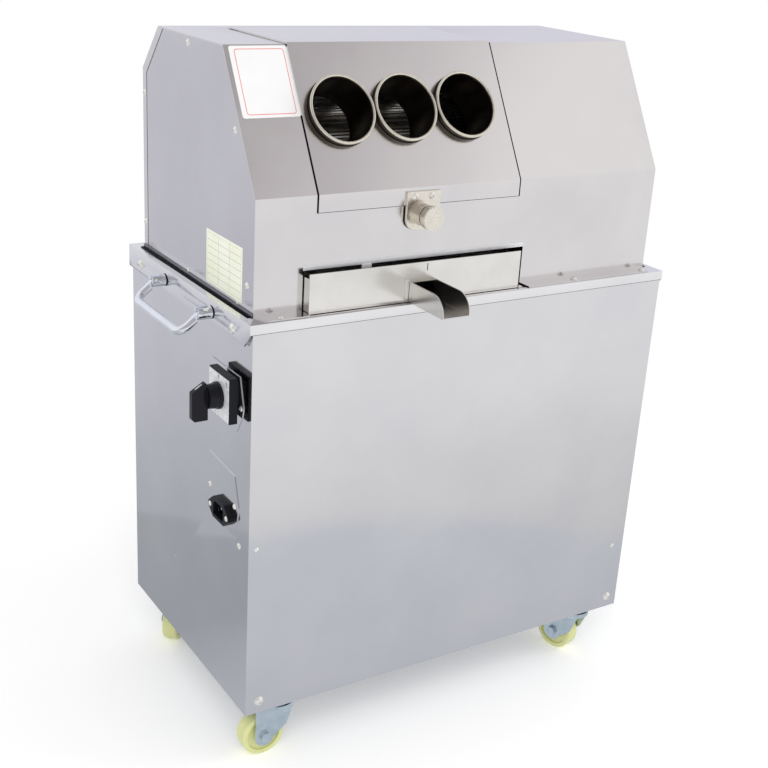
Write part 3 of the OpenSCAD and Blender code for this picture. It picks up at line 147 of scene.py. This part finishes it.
def moulded(name, pale, shade, rough, scale=700.0, bump=0.08, gloss=0.5):
    """Moulded plastic or paint: spark-eroded grain of about 1.5 mm and slight flow marks."""
    mat, tree, out, coords = blank(name)
    grit = add(tree, "TexNoise", {"Scale": scale, "Detail": 2.0}, {"Vector": coords})
    flow = add(tree, "TexNoise", {"Scale": 25.0, "Detail": 3.0}, {"Vector": coords})
    tone = add(tree, "ValToRGB", links={"Fac": flow.outputs["Fac"]})
    tone.color_ramp.elements[0].position, tone.color_ramp.elements[1].position = 0.3, 0.7
    tone.color_ramp.elements[0].color = linear(shade)
    tone.color_ramp.elements[1].color = linear(pale)
    spread = add(tree, "MapRange", {"To Min": rough * 0.85, "To Max": rough * 1.15},
                 {"Value": flow.outputs["Fac"]})
    skin_bump = add(tree, "Bump", {"Strength": bump, "Distance": 0.0002}, {"Height": grit.outputs["Fac"]})
    skin = add(tree, "BsdfPrincipled", {"Specular IOR Level": gloss},
               {"Base Color": tone.outputs["Color"], "Roughness": spread.outputs["Result"],
                "Normal": skin_bump.outputs["Normal"]})
    tree.links.new(skin.outputs["BSDF"], out.inputs["Surface"])
    return mat


# Cabinet and hood: cold rolled 304 stainless with a bright finish, wiped but not spotless
CABINET = sheet_metal("cabinet stainless, bright rolled", "DFDFE0", "D9D9DC", 0.10)
# Deck: the cabinet's stainless painted paler, a painted light for a top that faces the room, and softer, so
# that the light of the room spreads over it
DECK = sheet_metal("deck stainless, bright rolled", "EDEDEE", "E6E6E8", 0.14)
# Hood's left side: the hood's stainless painted greyer, a painted shade as it turns from the light, with
# upright grain
HOOD_SIDE = sheet_metal("hood side stainless, bright rolled", "D4D3D6", "CECDD1", 0.12, along=(1, 40, 1))
# Hood and lid: bright but blurred, with the grain running up the slope
HOOD = sheet_metal("hood stainless, bright rolled", "E0DEDE", "D9D7D8", 0.15, along=(40, 1, 1))
# Base pan, posts, tie bars and chute: greyer mill finish that mirrors little
INNER = sheet_metal("inner stainless, mill finish", "C4C5C8", "B4B5B8", 0.28)
# Drawer and spout: warm and pale, blurred by washing
TRAY = sheet_metal("tray stainless, mill finish", "F0EEEA", "DAD8D4", 0.20, grain=0.05)
# Mill plates, pinions and gearbox: machined grey iron, dull with a slight sheen
CAST = turned("grey iron, machined", "7B8085", "5C6166", 0.45, 120.0, 0.10)
# Motor: smooth blue-grey enamel with a soft gloss
MOTOR = moulded("motor enamel, blue grey", "5B6670", "505A64", 0.35)
# Bushes: yellow bronze, bright from the lathe
BRONZE = turned("bronze, turned", "C09A5A", "A5803F", 0.25)
# Rollers, trash plate and coupling: milled steel, warmer and darker than the sheets
ROLLER = turned("roller steel, milled", "B9B7B2", "96948F", 0.28, 60.0)
# Screws, bolts and rivets: small pale heads that stand out on the sheets
SCREW = turned("screws, bright stainless", "F8F6F1", "E4E2DC", 0.2, 300.0, 0.02, metallic=0.6)
# Bail handles and posts: decorative chrome, mirror smooth
CHROME = turned("handle chrome", "EEF1F7", "E2E6EE", 0.05, 40.0, 0.01)
# Hasp, ferrule and knob: satin nickel with a warm cast, the ferrule ringed every 1.2 mm
NICKEL = turned("latch nickel, satin", "EEE9DF", "DCD6CA", 0.22, 500.0, 0.03)
tree = NICKEL.node_tree
coords = tree.nodes["Texture Coordinate"].outputs["Object"]
rings = add(tree, "TexWave", {"Scale": 262.0}, {"Vector": coords}, bands_direction="Y")
ringed = add(tree, "Bump", {"Strength": 0.35, "Distance": 0.0003},
             {"Height": rings.outputs["Color"], "Normal": tree.nodes["Bump"].outputs["Normal"]})
tree.links.new(ringed.outputs["Normal"], tree.nodes["Principled BSDF"].inputs["Normal"])

# The hood's slope: its angle, the ways up and out of it, and y and z of its foot in mm
SLOPE = math.radians(60)
SLOPE_UP = Vector((0, math.cos(SLOPE), math.sin(SLOPE)))
SLOPE_OUT = Vector((0, -math.sin(SLOPE), math.cos(SLOPE)))
SLOPE_FOOT = (20.5, 560.02)


def on_slope(x, up, out=0.0):
    """A place on the hood's slope: mm from the left, mm up the slope, mm out of it."""
    return at(x, *SLOPE_FOOT) + SLOPE_UP * up / 1000 + SLOPE_OUT * out / 1000


# Feed tubes: a satin bead with a cream cast over a neck and bore painted dark brown grey, a painted shade
# and dark reflection. The neck turns into the bead between these two heights over the slope, in metres.
BEAD_FROM, BEAD_TO = 0.0086, 0.0096
RIM = turned("tube stainless, satin bead", "EFEBDD", "DDD8C8", 0.30, 200.0, 0.02)
tree = RIM.node_tree
coords = tree.nodes["Texture Coordinate"].outputs["Object"]
skin = tree.nodes["Principled BSDF"]
height = add(tree, "VectorMath", {1: SLOPE_OUT}, {0: coords}, operation="DOT_PRODUCT")
foot = on_slope(0, 0).dot(SLOPE_OUT)
bead = add(tree, "MapRange", {"From Min": foot + BEAD_FROM, "From Max": foot + BEAD_TO},
           {"Value": height.outputs["Value"]})
# Painted shade: below the bead the neck and bore are painted dark brown grey, mottled by noise
neck_shade_noise = add(tree, "TexNoise", {"Scale": 60.0, "Detail": 4.0}, {"Vector": coords})
dull = add(tree, "ValToRGB", links={"Fac": neck_shade_noise.outputs["Fac"]})
dull.color_ramp.elements[0].color = linear("3A342D")
dull.color_ramp.elements[1].color = linear("6A6258")
both = add(tree, "Mix", links={0: bead.outputs["Result"], MIX_FIRST: dull.outputs["Color"],
                               MIX_SECOND: skin.inputs["Base Color"].links[0].from_socket},
           data_type="RGBA")
tree.links.new(both.outputs[MIX_RESULT], skin.inputs["Base Color"])

# Switch housing: black nylon with a blue cast and little gloss
BLACK = moulded("switch housing, black nylon", "17181F", "101117", 0.42, gloss=0.2)
# Strip under the hood: a black strip, painted shade that draws a dark line along the deck at the hood's foot
FOOT_SHADE_BLACK = moulded("foot strip, painted shade black", "05060B", "030408", 0.6, gloss=0.1)
# Hem of the drawer's opening: a pale satin edge, paler and less metallic than the hood, a painted highlight
# where the edge catches the light
HEM_LIGHT = turned("opening hem, satin", "E6E6E8", "DCDCDF", 0.4, 120.0, 0.01, metallic=0.35)
# Hem along the hood's foot and the slot above the spout: stainless painted dark grey as painted shade, a
# line between the black strip and the side
PAINTED_SHADE_GREY = sheet_metal("hood hem and slot, painted shade grey", "8E8F96", "84858C", 0.4)
# Switch lever: black, a little smoother than its housing
KNOB = moulded("switch knob, black ABS", "14151C", "0E0F15", 0.30, gloss=0.22)
# Dial: satin aluminium painted nearly white and only part metallic, a painted highlight for a face turned to
# the light
DIAL = turned("dial plate, satin aluminium", "FBFCFD", "DFE2E5", 0.34, 260.0, 0.02, metallic=0.3)
# Inlet's pins: bright nickel with a warm cast
PIN = turned("inlet pins, nickel plated", "D8D4C8", "C4C0B4", 0.2)
# Plates, forks and axles of the casters: bright zinc with a blue cast and faint clouds
ZINC = turned("zinc plate, blue passivated", "DCE8EE", "C2D2DA", 0.24, 70.0)
# Wheels: pale yellow-green nylon with a soft sheen
WHEEL = moulded("wheel nylon, pale yellow green", "E6E8A8", "D2D592", 0.38, 300.0)
# Label and plate: white and pale yellow film with a slight gloss, printed in coral and grey
PAPER = moulded("label film, white", "F4F3F3", "EFEEEE", 0.3, 900.0, 0.01)
CORAL = moulded("label ink, coral", "E9766B", "E26D62", 0.35, 900.0, 0.01)
PALE = moulded("plate film, pale yellow", "FAFBEC", "F3F6DC", 0.35, 900.0, 0.01)
RULE = moulded("plate ink, grey", "8F918A", "84867F", 0.4, 900.0, 0.01)
# Dial and lever: black numerals and a white index, both flat
INK = moulded("dial ink, black", "222326", "1B1C1F", 0.4, 900.0, 0.01)
WHITE_MARK = moulded("knob mark, white", "E8E9EC", "DEDFE2", 0.4, 900.0, 0.01)

FINISH = {
    "cabinet_steel": CABINET, "hood_steel": HOOD, "inner_steel": INNER, "tray_steel": TRAY,
    "cast_iron": CAST, "motor_paint": MOTOR, "bronze": BRONZE, "roller_steel": ROLLER,
    "screw_steel": SCREW, "chrome_bar": CHROME, "latch_nickel": NICKEL, "tube_cream": RIM,
    "black_plastic": BLACK, "knob_plastic": KNOB, "dial_silver": DIAL, "pin_metal": PIN,
    "zinc_plate": ZINC, "wheel_nylon": WHEEL}
# Material slot and body of each CAD node
SLOT = {row["node"]: row["material_slot"] for row in frame["record"]["subparts"]}
BODY = {n: b for b, names in frame["record"]["behaviour"]["bodies"].items() for n in names}


def clear_selection():
    if bpy.context.object and bpy.context.object.mode != "OBJECT":
        bpy.ops.object.mode_set(mode="OBJECT")
    bpy.ops.object.select_all(action="DESELECT")


def pick(obj):
    clear_selection()
    obj.select_set(True)
    bpy.context.view_layer.objects.active = obj


def paint(obj, mat):
    obj.data.materials.clear()
    obj.data.materials.append(mat)


clear_selection()
for name, obj in NODE.items():
    if not obj.material_slots:
        obj.data.materials.append(FINISH[SLOT[name]])
    for place in obj.material_slots:
        place.material = FINISH[SLOT[name]]


def settle(obj, body, mat, angle=15):
    """Applies modifiers, moves the place into the mesh and hands the piece to its body."""
    pick(obj)
    for mod in list(obj.modifiers):
        bpy.ops.object.modifier_apply(modifier=mod.name)
    bpy.ops.object.transform_apply(location=True, rotation=True, scale=True)
    bpy.ops.object.shade_smooth_by_angle(angle=math.radians(angle))
    paint(obj, mat)
    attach(obj, body)
    clear_selection()


def eased(node, radius, segments=2, angle=30, mat=None, smooth=15):
    """A copy of a CAD node with its folds and edges rounded, as a press brake leaves them. The
    radius is in mm, and edges sharper than angle degrees are rounded."""
    copy = bpy.data.objects.new(node + "_eased", NODE[node].data.copy())
    bpy.context.scene.collection.objects.link(copy)
    pick(copy)
    bpy.ops.object.mode_set(mode="EDIT")
    bpy.ops.mesh.select_all(action="SELECT")
    bpy.ops.mesh.remove_doubles(threshold=0.00001)
    bpy.ops.mesh.dissolve_limited(angle_limit=math.radians(0.5))
    bpy.ops.object.mode_set(mode="OBJECT")
    bevel = copy.modifiers.new("fold", "BEVEL")
    bevel.width = radius / 1000
    bevel.segments = segments
    bevel.limit_method = "ANGLE"
    bevel.angle_limit = math.radians(angle)
    bevel.use_clamp_overlap = True
    bevel.harden_normals = False
    settle(copy, BODY[node], mat or FINISH[SLOT[node]], smooth)
    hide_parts(node)


for node, radius in (("front_panel", 0.7), ("left_panel", 0.4), ("right_panel", 0.4),
                     ("hood_shell", 0.7), ("hood_right_panel", 0.4),
                     ("hood_rear_cover", 0.6), ("lid", 0.7), ("juice_tray", 0.4), ("hasp_plate", 0.4),
                     ("switch_body", 0.9), ("switch_knob", 1.0), ("power_inlet", 0.7)):
    eased(node, radius)
eased("deck", 1.6, 4, mat=DECK, smooth=30)
eased("hood_left_panel", 0.4, mat=HOOD_SIDE)
eased("handle_posts", 0.6, 3, 45, smooth=30)


def film(name, width, height, corner, thick, place, along, upward, body, mat, rim=0.0, cells=None):
    """A printed film or plate with round corners, lying on a sheet. rim keeps only a border that
    wide, and cells keeps the rules between columns and rows. Sizes are in mm."""
    if cells:
        bpy.ops.mesh.primitive_grid_add(x_subdivisions=cells[0], y_subdivisions=cells[1], size=1)
    else:
        bpy.ops.mesh.primitive_plane_add(size=1)
    obj = bpy.context.object
    obj.name = name
    bpy.ops.object.mode_set(mode="EDIT")
    bpy.ops.mesh.select_all(action="SELECT")
    bpy.ops.transform.resize(value=(width / 1000, height / 1000, 1))
    if not cells:
        bpy.ops.mesh.bevel(offset=corner / 1000, segments=5, affect="VERTICES")
    bpy.ops.mesh.select_all(action="SELECT")
    if rim:
        bpy.ops.mesh.inset(thickness=rim / 1000, use_individual=bool(cells))
        bpy.ops.mesh.delete(type="FACE")
    bpy.ops.mesh.select_all(action="SELECT")
    bpy.ops.mesh.extrude_region_move(TRANSFORM_OT_translate={"value": (0, 0, thick / 1000)})
    bpy.ops.mesh.select_all(action="SELECT")
    bpy.ops.mesh.normals_make_consistent(inside=False)
    bpy.ops.object.mode_set(mode="OBJECT")
    across, rise = Vector(along).normalized(), Vector(upward).normalized()
    turn = Matrix((across, rise, across.cross(rise))).transposed().to_4x4()
    obj.matrix_world = Matrix.Translation(place) @ turn
    settle(obj, body, mat)


# Middle of the label on the slope, the hood's left side with the middle of the plate on it, and
# the thickness of both films, in mm
LABEL_X, LABEL_UP = 49, 115
HOOD_LEFT, PLATE_Y, PLATE_Z = 13, 88, 479
FILM_THICK = 0.18
# Ways that a film on the left side lies: along the sheet and up it
LEFT_ALONG, LEFT_UP = (0, -1, 0), (0, 0, 1)
film("label_white", 62, 72, 2.5, FILM_THICK, on_slope(LABEL_X, LABEL_UP), (1, 0, 0), SLOPE_UP, "cabinet",
     PAPER)
film("label_border", 53, 66, 3, 0.04, on_slope(LABEL_X + 0.5, LABEL_UP, FILM_THICK), (1, 0, 0),
     SLOPE_UP, "cabinet", CORAL, rim=0.7)
film("plate_pale", 84, 56, 0.8, FILM_THICK, at(HOOD_LEFT, PLATE_Y, PLATE_Z), LEFT_ALONG, LEFT_UP,
     "cabinet", PALE)
film("plate_rules", 78, 50, 0, 0.03, at(HOOD_LEFT - FILM_THICK, PLATE_Y, PLATE_Z), LEFT_ALONG,
     LEFT_UP, "cabinet", RULE, rim=0.16, cells=(3, 7))

# Middle of the dial and the place of its face, in mm, and how far a numeral stands off it
DIAL_Y, DIAL_Z, DIAL_FACE = 42.5, 360, -12.6
PRINT_OFF = 0.04


def numeral(text, y, z, size):
    """A plain numeral printed on the dial, its middle and its size in mm."""
    bpy.ops.object.text_add()
    obj = bpy.context.object
    obj.name = "dial_numeral_" + text
    obj.data.body = text
    obj.data.size = size / 1000
    obj.data.extrude = 0.00003
    obj.data.align_x, obj.data.align_y = "CENTER", "CENTER"
    bpy.ops.object.convert(target="MESH")
    turn = Matrix(((0, 0, -1), (-1, 0, 0), (0, 1, 0))).to_4x4()
    obj.matrix_world = Matrix.Translation(at(DIAL_FACE - PRINT_OFF, y, z)) @ turn
    settle(obj, "cabinet", INK)


for text, across, above in (("0", 0, 19.5), ("1", 18, 16.5), ("2", -18, 16.5)):
    numeral(text, DIAL_Y + across, DIAL_Z + above, 6)


def bar(name, low, high, radius, body, mat):
    """A rounded bar between two corners given in the cabinet's millimetres."""
    bpy.ops.mesh.primitive_cube_add(size=1)
    obj = bpy.context.object
    obj.name = name
    size = [(b - a) / 1000 for a, b in zip(low, high)]
    bpy.ops.object.mode_set(mode="EDIT")
    bpy.ops.mesh.select_all(action="SELECT")
    bpy.ops.transform.resize(value=size)
    bpy.ops.mesh.bevel(offset=radius / 1000, segments=3, affect="EDGES")
    bpy.ops.object.mode_set(mode="OBJECT")
    obj.location = at(*[(a + b) / 2 for a, b in zip(low, high)])
    settle(obj, body, mat, 30)


# Black strip at the hood's foot, painted shade for the dark line there, and the folded hem above it, painted
# dark grey as painted shade, seen along both sides
for side, x in (("left", 7.4), ("right", 519.0)):
    bar("foot_strip_" + side, (x, 22, DECK_TOP), (x + 3.6, 298, DECK_TOP + 0.8), 0.3, "cabinet", FOOT_SHADE_BLACK)
for side, x in (("left", 11.2), ("right", 517.0)):
    bar("foot_hem_" + side, (x, 21, DECK_TOP + 0.2), (x + 1.8, 299, DECK_TOP + 3.6), 0.5, "cabinet", PAINTED_SHADE_GREY)

# Folded tab and hem at the top of the drawer's opening, painted pale as a painted highlight, the spout's
# flange, and the slot above it, a dark grey strip as painted shade
bar("opening_tab", (132.5, 19.2, 480.6), (143.8, 20.9, 486.4), 0.3, "cabinet", HEM_LIGHT)
bar("opening_hem", (66, 20.1, 486.0), (336, 20.6, 491.0), 0.12, "cabinet", HEM_LIGHT)
bar("spout_flange", (178.6, 6.8, 445.6), (182.6, 8.2, 468.5), 0.5, "juice_tray", TRAY)
bar("tray_slot", (203.8, 7.9, 476.0), (205.0, 8.1, 483.5), 0.04, "juice_tray", PAINTED_SHADE_GREY)

# White index on the lever's sloping end: x and z of that slope's upper edge, how far it runs
# out and drops, both in mm, the part of it at which the index lies, and the way up it
LEVER_X, LEVER_Z = -27.65, 376
LEVER_RUN, LEVER_DROP = 14.75, 9
MARK_PART = 0.45
LEVER_UP = (0.853, 0, 0.52)
mark_place = at(LEVER_X - LEVER_RUN * MARK_PART, DIAL_Y, LEVER_Z - LEVER_DROP * MARK_PART)
film("knob_mark", 1.5, 8.5, 0.3, 0.12, mark_place, LEFT_ALONG, LEVER_UP, BODY["switch_knob"],
     WHITE_MARK)


def ring(name, place, axis_turn, inner, outer, thick, body, mat):
    """A washer with rounded rims: a disc inset to its bore, cut open and thickened, in mm."""
    bpy.ops.mesh.primitive_circle_add(vertices=48, radius=outer / 1000, fill_type="NGON")
    obj = bpy.context.object
    obj.name = name
    bpy.ops.object.mode_set(mode="EDIT")
    bpy.ops.mesh.select_all(action="SELECT")
    bpy.ops.mesh.inset(thickness=(outer - inner) / 1000)
    bpy.ops.mesh.delete(type="FACE")
    bpy.ops.mesh.select_all(action="SELECT")
    bpy.ops.mesh.extrude_region_move(TRANSFORM_OT_translate={"value": (0, 0, thick / 1000)})
    bpy.ops.mesh.select_all(action="SELECT")
    bpy.ops.mesh.normals_make_consistent(inside=False)
    bpy.ops.object.mode_set(mode="OBJECT")
    soft = obj.modifiers.new("rim", "BEVEL")
    soft.width = min(thick, outer - inner) * 0.2 / 1000
    soft.segments = 2
    soft.limit_method = "ANGLE"
    obj.rotation_euler = axis_turn
    obj.location = place
    settle(obj, body, mat, 30)


# Black plastic ring between each handle post and its panel, painted shade for the dark gap at the post's
# foot:
# y of the two posts and their height
POST_Y = (89.1, 209.7)
POST_Z = 431
for name, x, way in (("left", -1.1, 1), ("right", 531.1, -1)):
    for i, y in enumerate(POST_Y):
        ring("post_shade_ring_%s_%d" % (name, i), at(x, y, POST_Z), (0, math.radians(90) * way, 0),
             3.0, 6.9, 1.1, "cabinet", BLACK)


def stage_piece(obj, mat):
    """Paints a piece of the floor and backdrop, which belong to the picture and not to the machine."""
    paint(obj, mat)


def set_stops(ramp, stops):
    """Gives a colour ramp its stops: (place, sRGB hex)."""
    ends = ramp.color_ramp.elements
    while len(ends) < len(stops):
        ends.new(0.5)
    # Places before colours, because a ramp sorts its stops when one moves
    for stop, (place, code) in zip(ends, stops):
        stop.position = place
    for stop, (place, code) in zip(ends, stops):
        stop.color = linear(code)


def looked_at(tree):
    """1 for rays of the camera, of reflections and through glass, and 0 for those that light."""
    rays = add(tree, "LightPath")
    seen = add(tree, "Math", links={0: rays.outputs["Is Camera Ray"], 1: rays.outputs["Is Glossy Ray"]},
               operation="MAXIMUM")
    seen = add(tree, "Math", links={0: seen.outputs["Value"], 1: rays.outputs["Is Transmission Ray"]},
               operation="MAXIMUM")
    return seen.outputs["Value"]


def glow(name, stops, axis, low, high):
    """A plain emitting card whose tone runs along one axis, for reflections alone."""
    mat, tree, out, coords = blank(name)
    split = add(tree, "SeparateXYZ", links={0: coords})
    run = add(tree, "MapRange", {"From Min": low, "From Max": high}, {"Value": split.outputs[axis]})
    ramp = add(tree, "ValToRGB", links={"Fac": run.outputs["Result"]})
    set_stops(ramp, stops)
    light = add(tree, "Emission", {"Strength": 1.0}, {"Color": ramp.outputs["Color"]})
    tree.links.new(light.outputs["Emission"], out.inputs["Surface"])
    return mat


# Sizes of the stage in metres: the floor, where it starts and ends turning into plain white, the darker disc
# around the machine that only reflections show, and the studio
FLOOR_SIZE = 24
FADE_FROM, FADE_TO = 0.45, 1.1
CARD_SIZE = 15
CARD_LIFT = 0.0006
DISC_RADIUS = 0.607
STUDIO_RADIUS = 9
WHITE = (1, 1, 1, 1)

# Floor: matte white with soft shadows under the machine, plain white further out
bpy.ops.mesh.primitive_plane_add(size=FLOOR_SIZE, location=(0, 0, 0))
floor = bpy.context.object
floor.name = "floor"
mat, tree, out, coords = blank("pale floor")
seen = looked_at(tree)
far = add(tree, "VectorMath", links={0: coords}, operation="LENGTH")
far = add(tree, "MapRange", {"From Min": FADE_FROM, "From Max": FADE_TO}, {"Value": far.outputs["Value"]})
fade = add(tree, "Math", links={0: seen, 1: far.outputs["Result"]}, operation="MULTIPLY")
matte = add(tree, "BsdfPrincipled", {"Base Color": linear("FBFBFB"), "Roughness": 0.9,
                                     "Specular IOR Level": 0.1})
white = add(tree, "Emission", {"Color": WHITE, "Strength": 1.0})
# A slight glow of its own lifts the shadows, as light from all around does
glowing = add(tree, "Emission", {"Color": WHITE, "Strength": 0.2})
lit = add(tree, "AddShader", links={0: matte.outputs["BSDF"], 1: glowing.outputs["Emission"]})
mix = add(tree, "MixShader", links={0: fade.outputs["Value"], 1: lit.outputs["Shader"],
                                    2: white.outputs["Emission"]})
tree.links.new(mix.outputs["Shader"], out.inputs["Surface"])
stage_piece(floor, mat)


def mirrored_only(obj):
    """Leaves a piece to reflections alone."""
    obj.visible_camera = False
    obj.visible_diffuse = False
    obj.visible_shadow = False
    obj.visible_transmission = False


# Painted reflections for the bright sheets to mirror: the floor, a darker disc around the machine for the
# floor in shade near it, and the studio around it
FLOOR_TONES = [(0.0, "F6F6F7"), (0.22, "F8F8F9"), (0.31, "F4F4F5"), (0.37, "E8E7E8"), (0.50, "C4C4C8"),
               (0.60, "BCBFC5"), (0.70, "D0D0D8"), (0.80, "D8D8E0"), (1.0, "E0E0E6")]
DISC_TONES = [(0.0, "DADDE3"), (0.25, "D3D5DB"), (0.5, "BEC1C7"), (0.62, "AAAEB4"), (1.0, "B4B6BA")]
bpy.ops.mesh.primitive_plane_add(size=CARD_SIZE, location=(0, 0, CARD_LIFT))
card = bpy.context.object
card.name = "floor_tone"
stage_piece(card, glow("floor as mirrored", FLOOR_TONES, "Y", -2.4, 2.4))
mirrored_only(card)

bpy.ops.mesh.primitive_circle_add(vertices=96, radius=DISC_RADIUS, fill_type="NGON",
                                  location=(0, 0, 2 * CARD_LIFT))
card = bpy.context.object
card.name = "disc_tone"
stage_piece(card, glow("disc as mirrored", DISC_TONES, "Y", -0.6, 0.6))
mirrored_only(card)

bpy.ops.mesh.primitive_uv_sphere_add(segments=64, ring_count=32, radius=STUDIO_RADIUS, location=(0, 0, 0))
card = bpy.context.object
card.name = "studio_tone"
mat, tree, out, coords = blank("walls as mirrored")
# Darker overhead and on the left, light low on the right, as a window wall gives
WINDOW_WAY = (2.2, 0.0, -1.3)
way = add(tree, "VectorMath", links={0: coords}, operation="NORMALIZE")
slant = add(tree, "VectorMath", {1: WINDOW_WAY}, {0: way.outputs["Vector"]}, operation="DOT_PRODUCT")
level = add(tree, "MapRange", {"From Min": -0.105, "From Max": 0.45}, {"Value": slant.outputs["Value"]})
tint = add(tree, "ValToRGB", links={"Fac": level.outputs["Result"]})
set_stops(tint, [(0.0, "B8B4B5"), (0.36, "D1CCCD"), (0.52, "DAD6D7"), (0.76, "E8E4E4"), (0.935, "FBF9F9"),
                 (1.0, "FEFCFC")])
# Behind the machine the wall is white on the left and dimmer on the right
split = add(tree, "SeparateXYZ", links={0: way.outputs["Vector"]})
rear = add(tree, "MapRange", {"From Min": -0.35, "From Max": 0.55}, {"Value": split.outputs["X"]})
rear = add(tree, "ValToRGB", links={"Fac": rear.outputs["Result"]})
rear.color_ramp.elements[0].color = linear("F4F5F8")
rear.color_ramp.elements[1].color = linear("DFDFEA")
behind = add(tree, "MapRange", {"From Min": -0.2, "From Max": 0.3}, {"Value": split.outputs["Y"]})
walls = add(tree, "Mix", links={0: behind.outputs["Result"], MIX_FIRST: tint.outputs["Color"],
                                MIX_SECOND: rear.outputs["Color"]},
            data_type="RGBA")
light = add(tree, "Emission", {"Strength": 1.0}, {"Color": walls.outputs[MIX_RESULT]})
tree.links.new(light.outputs["Emission"], out.inputs["Surface"])
stage_piece(card, mat)
mirrored_only(card)

# The sky is plain white to look at and a little dimmer as a light
world = bpy.data.worlds.new("soft studio")
bpy.context.scene.world = world
world.use_nodes = True
tree = world.node_tree
tree.nodes.clear()
seen = looked_at(tree)
dim = add(tree, "Background", {"Color": WHITE, "Strength": 0.75})
bright = add(tree, "Background", {"Color": WHITE, "Strength": 1.0})
mix = add(tree, "MixShader", links={0: seen, 1: dim.outputs["Background"], 2: bright.outputs["Background"]})
add(tree, "OutputWorld", links={"Surface": mix.outputs["Shader"]})


def lamp(name, place, aim, size, power):
    """A square softbox in metres and watts, turned to its aim and left out of reflections."""
    data = bpy.data.lights.new(name, "AREA")
    data.shape = "SQUARE"
    data.size = size
    data.energy = power
    obj = bpy.data.objects.new(name, data)
    bpy.context.scene.collection.objects.link(obj)
    obj.location = place
    obj.rotation_euler = (Vector(aim) - Vector(place)).to_track_quat("-Z", "Y").to_euler()
    obj.visible_glossy = False


# Both lamps look at the middle of the machine
MIDDLE = (0, 0, 0.4)
lamp("key softbox", (-1.4, -2.2, 2.6), MIDDLE, 1.6, 26)
lamp("right softbox", (2.4, -1.2, 2.0), MIDDLE, 1.4, 14)

# Camera: width of the picture and focal length in pixels, sensor in mm, place in the cabinet's
# millimetres and three angles in radians, fitted to the edges in the photograph
FRAME_WIDTH = 768
FOCAL_LENGTH = 1257
SENSOR_WIDTH = 36
CAMERA_AT = (-503.9, -1018.5, 830.1)
YAW, PITCH, ROLL = 0.574, 0.369, 0.061
cam_data = bpy.data.cameras.new("camera")
cam = bpy.data.objects.new("camera", cam_data)
bpy.context.scene.collection.objects.link(cam)
bpy.context.scene.camera = cam
cam_data.sensor_width = SENSOR_WIDTH
cam_data.lens = FOCAL_LENGTH / FRAME_WIDTH * SENSOR_WIDTH
cam_data.clip_end = 60
ahead = Vector((math.sin(YAW) * math.cos(PITCH), math.cos(YAW) * math.cos(PITCH), -math.sin(PITCH)))
side = Vector((math.cos(YAW), -math.sin(YAW), 0))
lift = side.cross(ahead)
right = math.cos(ROLL) * side + math.sin(ROLL) * lift
up = -math.sin(ROLL) * side + math.cos(ROLL) * lift
turn = Matrix((right, up, -ahead)).transposed()
cam.matrix_world = Matrix.Translation(at(*CAMERA_AT)) @ turn.to_4x4()
bpy.context.scene.view_settings.view_transform = "Standard"
